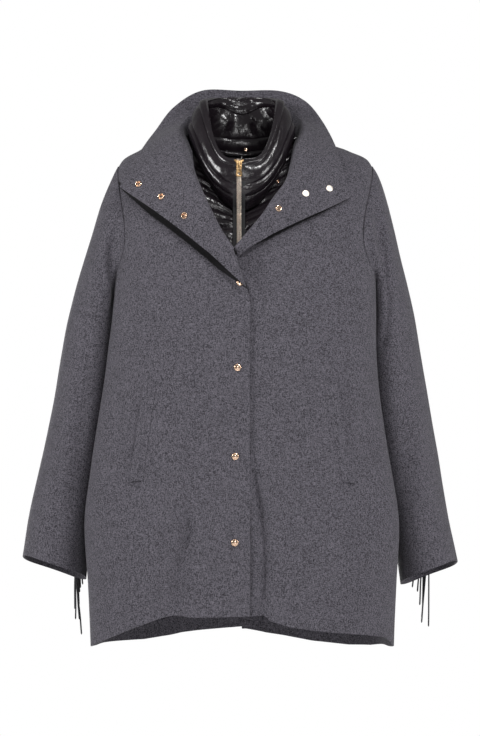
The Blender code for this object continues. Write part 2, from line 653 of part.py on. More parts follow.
def zip_slider_and_pull():
    out = TAPE_THICK + CHAIN_THICK + 3 * SEAM
    seat = neck_face(np.array(ZIP_X / NECK_RADIUS), np.array(SLIDER_DOWN), out)
    x, y, z = ZIP_X, seat[1] - SLIDER_SINK, seat[2]
    width, depth, height = SLIDER_SIZE
    face = y - depth
    slider = block_object("zip_slider", (x - width / 2, face, z - height / 2),
                          (x + width / 2, y, z + height / 2), ROSE_GOLD)
    axis_z = z - AXIS_BELOW
    axis_y = face - ARCH_CLEAR / 2
    half = ARCH_WIDTH / 2
    front = face - ARCH_CLEAR
    top, foot = axis_z + ARCH_UP, axis_z - ARCH_DOWN
    arch = [block_object("arch_top", (x - half, front - ARCH_THICK, top - ARCH_THICK),
                         (x + half, face + MM, top), ROSE_GOLD),
            block_object("arch_foot", (x - half, front - ARCH_THICK, foot),
                         (x + half, face + MM, foot + ARCH_THICK), ROSE_GOLD),
            block_object("arch_front", (x - half, front - ARCH_THICK, foot + ARCH_THICK / 2),
                         (x + half, front, top - ARCH_THICK / 2), ROSE_GOLD)]
    joined(slider, arch)
    bar_top = axis_z + PULL_BAR / 2
    pull = block_object("zip_pull", (x - PULL_WIDTH / 2, axis_y - PULL_THICK / 2, bar_top - PULL_LENGTH),
                        (x + PULL_WIDTH / 2, axis_y + PULL_THICK / 2, bar_top), ROSE_GOLD)
    slot_top = bar_top - PULL_BAR
    slot_width, slot_length = PULL_SLOT
    slot = block_object("slot", (x - slot_width / 2, axis_y - PULL_THICK, slot_top - slot_length),
                        (x + slot_width / 2, axis_y + PULL_THICK, slot_top), ROSE_GOLD)
    joined(pull, [slot], "DIFFERENCE")
    axis = Vector((x, axis_y, axis_z))
    pull.data.transform(Matrix.Translation(-axis))
    pull.location = axis


# ---------------------------------------------------------------- welts, studs and fringe
def welt(side, sizes):
    """A pocket's welt, lying on its front and made from that front's points."""
    rows, cols = 9, 4
    down = np.linspace(0, 1, rows)[:, None]
    across = np.linspace(0, 1, cols)
    edges = {edge: [sizes[f"{edge}_top_{a}"] + (sizes[f"{edge}_foot_{a}"] - sizes[f"{edge}_top_{a}"]) * down
                    for a in "xz"] for edge in ("outer", "inner")}
    x = edges["outer"][0] * (1 - across) + edges["inner"][0] * across
    z = edges["outer"][1] * (1 - across) + edges["inner"][1] * across
    angle, row = on_front(MM * x, MM * z)
    name = "welt_right" if side == RIGHT else "welt_left"
    near = np.full(angle.shape, -WELT_OFF)
    return wall(name, inset(angle, row, near - WOOL), inset(angle, row, near), WOOL_GREY)


def stud(name, kind, point, normal, off=STUD_OFF):
    """A press stud, turned from its profile, that stands on the cloth."""
    profile = STUD_PROFILES[kind]
    data = bpy.data.meshes.new(name)
    data.from_pydata([(r * MM, 0, h * MM) for r, h in profile],
                     [(i, i + 1) for i in range(len(profile) - 1)], [])
    obj = add_object(name, data, ROSE_GOLD)
    turning = obj.modifiers.new("turned", "SCREW")
    turning.steps = turning.render_steps = STUD_SIDES
    turning.use_merge_vertices = True
    turning.merge_threshold = 1e-6
    settle(obj)
    bm = bmesh.new()
    bm.from_mesh(obj.data)
    bmesh.ops.recalc_face_normals(bm, faces=bm.faces)
    bm.to_mesh(obj.data)
    bm.free()
    direction = Vector(normal)
    obj.location = Vector(point) + direction * off
    obj.rotation_euler = direction.to_track_quat("Z", "Y").to_euler()


def studs():
    for name, kind, x, z in STUDS_ON_FRONT:
        angle, row = on_front(np.array(x * MM), np.array(z * MM))
        stud(name, kind, body(angle, row), body_normal(angle, row))
    face, back = collar_faces(61)
    normal = (face - back) / LAPEL
    for name, kind, x, z in STUDS_ON_LAPELS:
        point, out = nearest(face, back, normal, x * MM, z * MM)
        stud(name, kind, point, out)
    angle, down = (np.array(v) for v in SNAP_NECK)
    inner = 2 * neck_middle(angle, down) - neck_face(angle, down)
    stud("snap_neck", "small", inner, -neck_normal(angle, down), STUD_OFF_QUILT)
    angle, down = (np.array(v) for v in SNAP_VEST)
    stud("snap_vest", "small", neck_face(angle, down), neck_normal(angle, down), STUD_OFF_QUILT)


def nearest(face, back, normal, x, z):
    """The point of the lapels' visible face that shows at x and z, with its normal."""
    best = None
    for grid, out in ((face, normal), (back, -normal)):
        turned = out[..., 1] < 0
        off = (grid[..., 0] - x) ** 2 + (grid[..., 2] - z) ** 2 + np.where(turned, 0, 1)
        off = off + np.where(np.arange(grid.shape[1]) < 4, 1, 0)
        place = np.unravel_index(off.argmin(), off.shape)
        if best is None or off[place] < best[0]:
            best = (off[place], grid[place], out[place])
    return best[1], best[2]


def fringe(name, side):
    """A narrow tape on the back seam of a sleeve, with thin strands that hang from it."""
    spaced = np.linspace(*FRINGE_ROWS, FRINGE_STRANDS)
    pitch = spaced[1] - spaced[0]
    row = np.sort(np.concatenate([spaced - pitch * STRAND_SHARE, spaced + pitch * STRAND_SHARE]))
    turn = np.radians(np.interp(row, FRINGE_ROWS, (FRINGE_TOP[side], FRINGE_CUFF[side])))
    step = 1e-3
    middle = sleeve_surface(side, turn, row)
    across = sleeve_surface(side, turn + step, row) - middle
    along = sleeve_surface(side, turn, row + step) - middle
    outward = np.cross(along, across)
    outward = outward / np.linalg.norm(outward, axis=-1, keepdims=True)
    outward = outward * np.sign(outward[:, 1:2])
    level = np.cross(outward, (0, 0, 1))
    half = level / np.linalg.norm(level, axis=-1, keepdims=True) * FRINGE_TAPE / 2
    near, far = outward * TAPE_OFF, outward * (TAPE_OFF + FRINGE_TAPE_THICK)
    bm = bmesh.new()
    lines = [[bm.verts.new(p) for p in middle + offset]
             for offset in (near - half, near + half, far + half, far - half)]
    roots = []
    for i in range(len(row) - 1):
        for a in range(4):
            b = (a + 1) % 4
            made = bm.faces.new((lines[a][i], lines[b][i], lines[b][i + 1], lines[a][i + 1]))
            if a == 2 and i % 2 == 0:
                roots.append(made)
    for i in (0, len(row) - 1):
        bm.faces.new([line[i] for line in lines])
    bmesh.ops.recalc_face_normals(bm, faces=bm.faces)
    for number, root in enumerate(roots):
        second = number % 2
        length = FRINGE_LENGTH * (1 + STRAND_UNEVEN * math.sin(number * 2.4))
        hang(bm, root, STRAND_OUT + (1 - second) * STRAND_APART, -side * second * STRAND_ASIDE, length)
    data = bpy.data.meshes.new(name)
    bm.to_mesh(data)
    bm.free()
    return add_object(name, data, FRINGE_BLACK)


def hang(bm, face, out, aside, length):
    """Draws one face of the tape out and then down into a strand of four sides."""
    middle = face.calc_center_median()
    for back, drop, high in ((out, 0, 1.5 * MM), (out + STRAND_THICK, -length, 0)):
        corners = {vert: (math.copysign(1, vert.co.x - middle.x), math.copysign(1, vert.co.z - middle.z))
                   for vert in face.verts}
        if high == 0:
            corners = stub
        stub = {}
        made = bmesh.ops.extrude_discrete_faces(bm, faces=[face])["faces"][0]
        for vert in made.verts:
            right, up = corners[min(corners, key=lambda old: (old.co - vert.co).length)]
            stub[vert] = (right, up)
            lower = 0 if high else (1 - up) / 2 * STRAND_THICK
            vert.co = middle + Vector((aside + right * STRAND_WIDTH / 2, back - lower, drop + up * high))
        face = made


front_panel("front_right", RIGHT)
front_panel("front_left", LEFT)
back_panel("back_right", RIGHT)
back_panel("back_left", LEFT)
vent_underlap()
sleeve("sleeve_right", RIGHT)
sleeve("sleeve_left", LEFT)
collar()
vest_pieces()
vest_collar()
zip_strip("zip_tape", TAPE_WIDTH, TAPE_THICK, SEAM, ZIP_BLACK)
zip_strip("zip_chain", CHAIN_WIDTH, CHAIN_THICK, 2 * SEAM + TAPE_THICK, ROSE_GOLD, 2)
zip_slider_and_pull()
for values in WELT_ROWS:
    sizes = dict(zip(WELT_COLUMNS, values))
    welt(sizes["side"], sizes)
studs()
fringe("fringe_right", RIGHT)
fringe("fringe_left", LEFT)
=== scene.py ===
"""Looks of the fringed jacket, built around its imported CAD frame. Metres, tables in millimetres."""
import itertools
import json
import math

import bmesh
import bpy
import numpy as np
from mathutils import Matrix, Vector


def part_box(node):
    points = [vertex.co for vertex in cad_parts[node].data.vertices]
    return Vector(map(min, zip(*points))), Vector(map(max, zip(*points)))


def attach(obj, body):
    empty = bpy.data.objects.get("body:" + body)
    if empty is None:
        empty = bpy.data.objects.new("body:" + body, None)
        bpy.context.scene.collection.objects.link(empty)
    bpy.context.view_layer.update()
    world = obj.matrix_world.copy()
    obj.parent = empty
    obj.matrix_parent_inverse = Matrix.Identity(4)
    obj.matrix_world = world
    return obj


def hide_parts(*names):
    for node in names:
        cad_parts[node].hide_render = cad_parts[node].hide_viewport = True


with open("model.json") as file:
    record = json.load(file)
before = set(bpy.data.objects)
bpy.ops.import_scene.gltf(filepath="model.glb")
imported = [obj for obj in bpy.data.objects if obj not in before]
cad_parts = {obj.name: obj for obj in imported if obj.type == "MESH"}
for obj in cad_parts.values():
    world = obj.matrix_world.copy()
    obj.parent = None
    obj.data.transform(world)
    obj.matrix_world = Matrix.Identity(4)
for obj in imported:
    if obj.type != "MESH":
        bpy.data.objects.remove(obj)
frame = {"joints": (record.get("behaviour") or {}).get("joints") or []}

MM = 0.001
RIGHT, LEFT = -1, 1
WOOL = 2.6 * MM
LAPEL = 3.4 * MM
PADDING = 6 * MM
VEST_INSET = 11 * MM
SEAM = 0.35 * MM
STEP = 1e-3                  # how far apart a slope is taken, in radians and rows
WORDS = {RIGHT: "right", LEFT: "left"}
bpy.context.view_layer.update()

# ---------------------------------------------------------------- the jacket's tables, as in the CAD
BODY_COLUMNS = ("front_z", "side_z", "back_z", "right_width", "left_width", "front_depth",
                "back_depth", "squareness",
                "right_dent", "left_dent", "right_edge", "left_edge", "underlap")
BODY_ROWS = (
    (-86, 24, 2, 84, 84, 98, 66, 2.0, 0, 0, -74, 76, 0),
    (-106, 14, -12, 122, 122, 112, 88, 2.0, 0, 0, -58, 56, 0),
    (-128, 1, -32, 153, 161, 122, 104, 2.1, 0, 0, -38, 30, 1.0),
    (-152, -24, -60, 185, 196, 130, 116, 2.2, 0, 0, -21, -5, 3.0),
    (-186, -95, -110, 196, 206, 136, 122, 2.4, 4, 6, -1, -16, 4.2),
    (-224, -170, -172, 198, 213, 141, 126, 2.6, 12, 20, 12, -26, 4.2),
    (-264, -240, -240, 203, 217, 144, 129, 2.8, 26, 41, 12, -30, 4.2),
    (-318, -314, -314, 213, 220, 147, 132, 3.0, 36, 58, 12, -30, 4.2),
    (-393, -393, -393, 225, 228, 150, 136, 3.0, 42, 65, 12, -30, 4.2),
    (-474, -476, -474, 239, 241, 152, 140, 3.0, 45, 64, 12, -30, 4.2),
    (-546, -554, -546, 248, 250, 153, 144, 3.0, 42, 47, 12, -30, 4.2),
    (-620, -642, -628, 242, 244, 153, 147, 2.9, 34, 34, 12, -30, 4.2),
    (-690, -737, -718, 235, 237, 152, 148, 2.8, 18, 18, 12, -30, 4.2),
)
HEM_COLUMNS = ("across", "front", "back_right", "back_left")
HEM_ROWS = (
    (-232, -739, -739, -739),
    (-165, -710, -737, -737),
    (-120, -693, -731, -731),
    (-100, -688, -727, -727),
    (-72, -692, -724, -724),
    (8, -690, -718, -722),
    (32, -688, -718, -726),
    (42, -697, -719, -728),
    (72, -706, -727, -732),
    (120, -713, -737, -740),
    (180, -718, -739, -745),
    (214, -723, -739, -744),
    (236, -740, -740, -740),
)
SLEEVE_COLUMNS = ("right_out", "left_out", "out_z", "right_in", "left_in", "in_z",
                  "half_depth", "middle", "back_drop")
SLEEVE_ROWS = (
    (188, 197, -24, 184, 190, -222, 66, 0, 0),
    (199, 211, -48, 187, 200, -234, 71, 2, 0),
    (212, 220, -80, 188, 201, -246, 76, 5, 0),
    (224, 230, -118, 189, 200, -262, 80, 8, 0),
    (238, 241, -165, 190, 196, -286, 83, 12, 0),
    (252, 254, -222, 192, 189, -322, 83, 14, 0),
    (269, 269, -303, 198, 191, -388, 83, 14, 0),
    (284, 284, -384, 207, 202, -458, 83, 14, 0),
    (301, 297, -465, 219, 217, -528, 83, 14, 2),
    (318, 311, -546, 229, 231, -592, 82, 14, 8),
    (329, 325, -609, 234, 239, -641, 80, 14, 15),
)
CUFF_DROP = {RIGHT: -9.0, LEFT: -1.5}
SLEEVE_ROUNDNESS, NECK_ROUNDNESS = 2.3, 2.2   # 2 is an ellipse, more is squarer
COLLAR_COLUMNS = ("seam_x", "seam_y", "seam_z", "roll_x", "roll_y", "roll_z",
                  "edge_x", "edge_y", "edge_z", "lift")
COLLAR_RIGHT = (
    (0, 68, 5, 0, 83, 46, 0, 91, 96.5, 0),
    (-39, 60.5, 9, -45, 77, 50, -60.5, 86, 96, 0),
    (-64, 43, 18, -75, 58, 53, -103, 68, 69.5, 1),
    (-79, 22, 26, -88, 28, 40, -130.5, 36, 31.5, 3),
    (-85, -4, 27, -91, -12, 32, -148, -26, 3, 5),
    (-79, -38, 12, -87, -52, 12, -167, -58, -26, 6),
    (-74, -65, -15, -77, -82, -20, -181, -77, -55, 7),
    (-65, -91, -58, -62, -108, -56, -133, -110, -88, 7),
    (-54, -112, -96, -47, -126, -89, -90, -127.5, -120, 7),
    (-42, -124, -126, -32, -138, -120, -44, -140, -157, 6),
    (-25, -136, -167, -14, -147.5, -149, 6, -148, -204, 4),
)
COLLAR_LEFT = (
    (0, 68, 5, 0, 83, 46, 0, 91, 96.5, 0),
    (39, 60.5, 9, 45, 77, 50, 58, 86, 95.5, 0),
    (64, 43, 18, 75, 58, 55, 95.5, 69, 79.5, 1),
    (79, 22, 26, 88, 30, 45, 120.5, 38, 48, 3),
    (85, -4, 27, 90, -10, 34, 138, -22, 10, 5),
    (79, -38, 12, 86, -50, 12, 150, -64, -28, 6),
    (74, -65, -15, 79, -80, -16, 161, -88, -71, 7),
    (62, -93, -62, 65, -104, -49, 122, -109.5, -90, 7),
    (48, -113, -98, 47, -121, -75, 84, -119.5, -107, 6),
    (34, -123, -124, 28, -134, -104, 46, -128.5, -125, 5),
    (-4, -131, -158, -11, -141.5, -149, -3, -139, -154, 3),
)
TIP_ROW = 6                  # the lapels' points
COLLAR_FOOT_DROP = 4         # at the shoulders, where small gaps would show above the fronts
RIM = dict(front_z=-14, side_z=79, back_z=85, width=53, front_depth=86, back_depth=64)
BOW = dict(front_z=-46, side_z=44, back_z=46, width=80, front_depth=98, back_depth=62)
RIM_RISE, BOW_RISE = 4, 3
VEST_HEM_Z = -684
NECK_FOOT_LIFT = 2.0 * MM
NECK_SHRINK = 0.08
NECK_CHANNELS = 3
CHANNEL_PUFF = 2.4 * MM
NECK_PADDING = 9.5 * MM
NECK_RADIUS = 92 * MM
ARMHOLE_TOP, ARMHOLE_FOOT = 3.0, 5.7
ARMHOLE_OPENING = 0.42
VENT_ROW = 9.3
VENT_START, VENT_EDGE = -18 * MM, 52 * MM
VENT_INSET = 4.4 * MM
SLEEVE_LAP, SLEEVE_LIFT = 2.5 * MM, 0.06 * MM   # a sleeve's edge on the panels at the armhole
WOOL_EDGE, SLEEVE_EDGE = 0.9 * MM, 0.1 * MM     # how far the cloth's edges are rounded
DENT_MIDDLE, DENT_REACH = 16 * MM, 66 * MM
BACK_NARROWING = 0.10
WELT_COLUMNS = ("side", "outer_top_x", "outer_top_z", "outer_foot_x", "outer_foot_z",
                "inner_top_x", "inner_top_z", "inner_foot_x", "inner_foot_z")
WELT_ROWS = (
    (RIGHT, -143, -346, -165, -492, -125, -343, -146, -489),
    (LEFT, 139, -344, 168, -495, 121, -342, 148, -491),
)
ZIP_X = -4 * MM
TAPE_WIDTH, TAPE_THICK = 18 * MM, 0.8 * MM
SEAM_LIFT = 2.2 * MM
STUD_COLUMNS = ("name", "node", "kind", "x", "z")
STUDS_ON_FRONT = (
    ("stud_front_top", "snap_front_1", "cap", -6, -323),
    ("stud_front_middle", "snap_front_2", "cap", -9.5, -454),
    ("stud_front_foot", "snap_front_3", "cap", -10, -581),
    ("cap_foot", "snap_foot", "flat", -3, -197.5),
)
STUDS_ON_LAPELS = (
    ("socket_outer", "snap_socket_1", "socket", -151, -51),
    ("socket_middle", "snap_socket_2", "socket", -120, -71),
    ("socket_inner", "snap_socket_3", "socket", -85.5, -99.5),
    # the two outer lapel caps: a flatter profile, and a paler copy of the rose gold as a painted reflection
    ("cap_outer", "snap_lapel_1", "pale", 130, -56),
    ("cap_middle", "snap_lapel_2", "pale", 94, -66.5),
    ("cap_inner", "snap_lapel_3", "flat", 54, -88),
)
SNAP_COLUMNS = ("name", "node", "kind", "sign", "down", "out")
SNAPS_ON_VEST = (
    ("stud_inside_neck", "snap_neck", "small", -1, 0.91, 0.3),
    ("stud_by_lapel", "snap_vest", "ring", 1, 0.88, 1.3),
)
# Folds of the wool, as they show from the front: troughs with a ridge on their left.
FOLD_COLUMNS = ("part", "face", "x0", "z0", "x1", "z1", "reach", "depth")
FOLDS = (
    ("body", "front", -76, -300, -78, -600, 11, 3.2),
    ("body", "front", -80, -540, -95, -705, 9, 5.5),
    ("body", "front", 18, -470, 36, -700, 9, 4.5),
    ("body", "front", -120, -150, -150, -330, 30, 2.5),
    ("body", "front", 105, -160, 150, -330, 32, 2.5),
    ("body", "front", 92, -420, 118, -710, 26, 2.2),
    ("body", "front", -190, -280, -176, -560, 20, 3.0),
    ("body", "front", 196, -260, 188, -560, 22, 3.0),
    ("body", "back", -60, -150, -82, -700, 30, 3.5),
    ("body", "back", 70, -130, 96, -700, 32, 3.5),
    ("body", "back", -140, -220, -150, -690, 24, 3.0),
    ("body", "back", 150, -240, 158, -690, 26, 3.0),
    ("body", "front", -182, -106, -193, -215, 4, 5.0),
    ("body", "front", 24, -480, 30, -690, 4.5, 2.5),
    ("sleeve", "front", -185, -118, -198, -240, 5, 3.5),
    ("sleeve", "front", -222, -190, -256, -560, 15, 2.6),
    ("sleeve", "front", -262, -300, -284, -590, 18, 2.0),
    ("sleeve", "front", 206, -80, 213, -300, 8, 5.5),
    ("sleeve", "front", 226, -190, 256, -560, 15, 2.6),
    ("sleeve", "front", 262, -280, 288, -590, 18, 2.0),
    ("sleeve", "back", -216, -140, -262, -600, 20, 3.0),
    ("sleeve", "back", 218, -150, 262, -600, 20, 3.0),
)


# ---------------------------------------------------------------- tables to surfaces, as in the CAD
def columns(names, rows):
    return dict(zip(names, np.array(rows, float).T))


def entries(names, rows):
    """A table's rows, each with its values by the names of their columns."""
    return [dict(zip(names, values)) for values in rows]


def read(column, row):
    """A table's column at a fractional row, through a smooth curve."""
    row = np.clip(row, 0, len(column) - 1)
    i = np.clip(np.floor(row).astype(int), 0, len(column) - 2)
    t = row - i
    padded = np.concatenate([[2 * column[0] - column[1]], column, [2 * column[-1] - column[-2]]])
    a, b, c, d = (padded[i + k] for k in range(4))
    return b + 0.5 * t * (c - a + t * (2 * a - 5 * b + 4 * c - d + t * (3 * (b - c) + d - a)))


def smooth(t):
    t = np.clip(t, 0, 1)
    return t * t * (3 - 2 * t)


BODY = columns(BODY_COLUMNS, BODY_ROWS)
HEM = columns(HEM_COLUMNS, HEM_ROWS)
SLEEVE = columns(SLEEVE_COLUMNS, SLEEVE_ROWS)
LAST_ROW = len(BODY_ROWS) - 1


def body(angle, row, back_hem="back_right"):
    """Outer face of the jacket: angle 0 is the front, a quarter turn is the left side."""
    angle, row = np.broadcast_arrays(np.asarray(angle, float), np.asarray(row, float))
    s, c = np.sin(angle), np.cos(angle)
    width = MM * np.where(s < 0, read(BODY["right_width"], row), read(BODY["left_width"], row))
    depth = MM * np.where(c > 0, read(BODY["front_depth"], row), read(BODY["back_depth"], row))
    power = read(BODY["squareness"], row)
    radius = (np.abs(s / width) ** power + np.abs(c / depth) ** power) ** (-1 / power)
    x, y = radius * s, -radius * c
    share = np.abs(x) / width
    middle_z = np.where(c > 0, read(BODY["front_z"], row), read(BODY["back_z"], row))
    side_z = read(BODY["side_z"], row)
    z = MM * (side_z + (middle_z - side_z) * (1 - share ** 2))
    hem = MM * np.where(c > 0, np.interp(x / MM, HEM["across"], HEM["front"]),
                        np.interp(x / MM, HEM["across"], HEM[back_hem]))
    flat_hem = MM * (read(BODY["side_z"], LAST_ROW) + (np.where(
        c > 0, BODY["front_z"][-1], BODY["back_z"][-1]) - BODY["side_z"][-1]) * (1 - share ** 2))
    z = z + (hem - flat_hem) * smooth((row - 9) / 3)
    x = x * (1 - BACK_NARROWING * smooth(y / depth) * smooth((row - 3) / 3))
    dent = MM * np.where(s < 0, read(BODY["right_dent"], row), read(BODY["left_dent"], row))
    x = x - np.sign(x) * dent * share ** 4 * np.exp(-((y - DENT_MIDDLE) / DENT_REACH) ** 2)
    return np.stack([x, y, z], -1)


def unit(vectors):
    return vectors / np.linalg.norm(vectors, axis=-1, keepdims=True)


def body_normal(angle, row):
    row = np.clip(row, STEP, LAST_ROW - STEP)
    across = body(angle + STEP, row) - body(angle - STEP, row)
    down = body(angle, row + STEP) - body(angle, row - STEP)
    return unit(np.cross(down, across))


def inset(angle, row, depth, back_hem="back_right"):
    """A point that lies a depth behind the jacket's outer face."""
    return body(angle, row, back_hem) - body_normal(angle, row) * np.asarray(depth)[..., None]


def angle_at(x, row, back=False):
    """The angle at which a contour reaches x, on the front or on the back."""
    x, row = np.broadcast_arrays(np.asarray(x, float), np.asarray(row, float))
    low, high = np.full(x.shape, -1.35), np.full(x.shape, 1.35)
    for _ in range(40):
        middle = (low + high) / 2
        turned = math.pi - middle if back else middle
        under = body(turned, row)[..., 0] < x
        low, high = np.where(under, middle, low), np.where(under, high, middle)
    return math.pi - low if back else low


def on_front(x, z):
    """Angle and row of the front's point that shows at x and z."""
    x, z = np.broadcast_arrays(np.asarray(x, float), np.asarray(z, float))
    low, high = np.zeros(x.shape), np.full(x.shape, float(LAST_ROW))
    for _ in range(30):
        row = (low + high) / 2
        above = body(angle_at(x, row), row)[..., 2] > z
        low, high = np.where(above, row, low), np.where(above, high, row)
    return angle_at(x, low), low


def armhole(row):
    """Half of the armhole's opening at a row, in radians."""
    reach = np.clip((row - ARMHOLE_TOP) / (ARMHOLE_FOOT - ARMHOLE_TOP), 0, 1)
    return ARMHOLE_OPENING * np.sin(math.pi * reach) ** 0.65


def pulled_back(angle, row, towards):
    """The angle moved towards another one by a seam's gap on the surface."""
    speed = np.linalg.norm(body(angle + STEP, row) - body(angle - STEP, row), axis=-1) / (2 * STEP)
    return angle + np.sign(towards - angle) * SEAM / speed


def armhole_ring(side, turn):
    """Points of the armhole's edge: turn 0 is the shoulder, a half turn the underarm."""
    row = ARMHOLE_TOP + (ARMHOLE_FOOT - ARMHOLE_TOP) * (1 - np.cos(turn)) / 2
    forward = np.where(np.sin(turn) >= 0, 1, -1)
    angle = side * (math.pi / 2 - forward * armhole(row))
    points = body(angle, row)
    middle = (body(side * math.pi / 2, ARMHOLE_TOP) + body(side * math.pi / 2, ARMHOLE_FOOT)) / 2
    return points - unit(middle - points) * SLEEVE_LAP + body_normal(angle, row) * SLEEVE_LIFT


def sleeve_surface(side, turn, row):
    """Outer face of a sleeve: turn 0 is the outer side, a quarter turn the front."""
    turn, row = np.broadcast_arrays(np.asarray(turn, float), np.asarray(row, float))
    outer, inner = (np.stack([side * read(SLEEVE[f"{WORDS[side]}_{edge}"], row),
                              read(SLEEVE["middle"], row), read(SLEEVE[f"{edge}_z"], row)], -1)
                    for edge in ("out", "in"))
    c, s = np.cos(turn), np.sin(turn)
    round_ = (np.abs(c) ** SLEEVE_ROUNDNESS + np.abs(s) ** SLEEVE_ROUNDNESS) ** (-1 / SLEEVE_ROUNDNESS)
    point = (outer + inner) / 2 + (outer - inner) / 2 * (c * round_)[..., None]
    point[..., 1] -= read(SLEEVE["half_depth"], row) * s * round_
    point[..., 2] -= read(SLEEVE["back_drop"], row) * smooth(-s * round_ * 0.5 + 0.5)
    point[..., 2] -= CUFF_DROP[side] * smooth((row - 7) / 3)
    share = smooth(row / 2.2)[..., None]
    return armhole_ring(side, turn) * (1 - share) + MM * point * share


def grid_normals(grid, ring=False):
    """Normals of a grid of points, by the differences between its neighbours."""
    down = np.gradient(grid, axis=0)
    across = (np.roll(grid, -1, 1) - np.roll(grid, 1, 1)) if ring else np.gradient(grid, axis=1)
    normal = np.cross(down, across)
    return normal / np.maximum(np.linalg.norm(normal, axis=-1, keepdims=True), 1e-12)


def vest_body(angle, row, depth=0.0):
    """The vest's outer face below its collar, or a depth behind it."""
    point = inset(angle, row, np.broadcast_to(VEST_INSET + depth, np.broadcast(angle, row).shape))
    shrink = 1 - NECK_SHRINK * smooth(1 - np.asarray(row) / 0.9)
    return point * np.stack([shrink, shrink, np.ones_like(shrink)], -1)


def vest_end_row(angle):
    """The row at which the vest's hem is reached."""
    low, high = np.full(np.shape(angle), 9.0), np.full(np.shape(angle), float(LAST_ROW))
    for _ in range(30):
        row = (low + high) / 2
        above = vest_body(angle, row)[..., 2] > MM * VEST_HEM_Z
        low, high = np.where(above, row, low), np.where(above, high, row)
    return low


def neck_ring(sizes, angle, rise):
    s, c = np.sin(angle), np.cos(angle)
    depth = np.where(c > 0, sizes["front_depth"], sizes["back_depth"])
    radius = (np.abs(s / sizes["width"]) ** NECK_ROUNDNESS
              + np.abs(c / depth) ** NECK_ROUNDNESS) ** (-1 / NECK_ROUNDNESS)
    share = np.abs(radius * s) / sizes["width"]
    middle_z = np.where(c > 0, sizes["front_z"], sizes["back_z"])
    z = sizes["side_z"] + (middle_z - sizes["side_z"]) * (1 - share ** rise)
    return MM * np.stack([radius * s, -radius * c, z], -1)


def neck_middle(angle, down):
    """Middle of the vest collar's padding: down 0 is its rim, 1 its seam to the vest."""
    angle, down = np.broadcast_arrays(np.asarray(angle, float), np.asarray(down, float))
    share = down[..., None]
    rim = neck_ring(RIM, angle, RIM_RISE)
    bow = neck_ring(BOW, angle, BOW_RISE)
    foot = vest_body(angle, np.zeros(angle.shape)) + np.array([0, 0, NECK_FOOT_LIFT])
    return (1 - share) ** 2 * rim + 2 * share * (1 - share) * bow + share ** 2 * foot


def thinned(thickness, down):
    """The padding thins at the rim and at the seam."""
    rim = 0.45 + 0.55 * smooth(down / 0.10)
    foot = 1 - 0.6 * smooth((down - 0.7) / 0.3)
    return thickness * rim * foot


def neck_thickness(angle, down):
    """The padding as in the CAD: it swells in each channel, but not by the zip."""
    swell = CHANNEL_PUFF * np.abs(np.sin(math.pi * NECK_CHANNELS * down))
    by_zip = smooth((np.abs(np.sin(angle)) - 0.14) * 4 + 2 * (np.cos(angle) < 0))
    return thinned(NECK_PADDING + 2 * swell * by_zip, down)


def neck_normal(angle, down):
    down = np.clip(down, STEP, 1 - STEP)
    across = neck_middle(angle + STEP, down) - neck_middle(angle - STEP, down)
    along = neck_middle(angle, down + STEP) - neck_middle(angle, down - STEP)
    return unit(np.cross(along, across))


def neck_face(angle, down):
    lift = neck_thickness(angle, down) / 2
    return neck_middle(angle, down) + neck_normal(angle, down) * lift[..., None]


# ---------------------------------------------------------------- relief
def lumps(points, size, seed=0):
    """Smooth noise from -1 to 1 in space, with lumps of a size, which may differ by axis."""
    at = points / np.asarray(size, float)
    cell = np.floor(at)
    share = smooth(at - cell)
    total = 0
    for corner in itertools.product((0, 1), repeat=3):
        mixed = np.sin((cell + corner) @ np.array([127.1, 311.7, 74.7]) + seed * 53.3) * 43758.5453
        weight = np.prod(np.where(corner, share, 1 - share), axis=-1)
        total = total + (mixed - np.floor(mixed)) * weight
    return total * 2 - 1


def under_lapel(x, z, rows_table, reach, depth):
    """The front sinks along the edge of a lapel that lies over it."""
    edge = columns(COLLAR_COLUMNS, rows_table)
    line = np.stack([edge["edge_x"], edge["edge_z"] - 0.7 * reach], -1)[TIP_ROW:]
    nearest_off = np.full(np.shape(x), 1e3)
    for start, end in zip(line[:-1], line[1:]):
        run = end - start
        along = np.clip(((x - start[0]) * run[0] + (z - start[1]) * run[1]) / (run @ run), 0, 1)
        off = np.hypot(x - start[0] - along * run[0], z - start[1] - along * run[1])
        nearest_off = np.minimum(nearest_off, off)
    return -depth * np.exp(-(nearest_off / reach) ** 2)


def seam_distance(points):
    """How far points are from the nearest armhole's seam."""
    turns = np.linspace(0, 2 * math.pi, 90)
    off = np.full(points.shape[:-1], 1e3)
    for side in (RIGHT, LEFT):
        for spot in armhole_ring(side, turns):
            off = np.minimum(off, np.linalg.norm(points - spot, axis=-1))
    return off


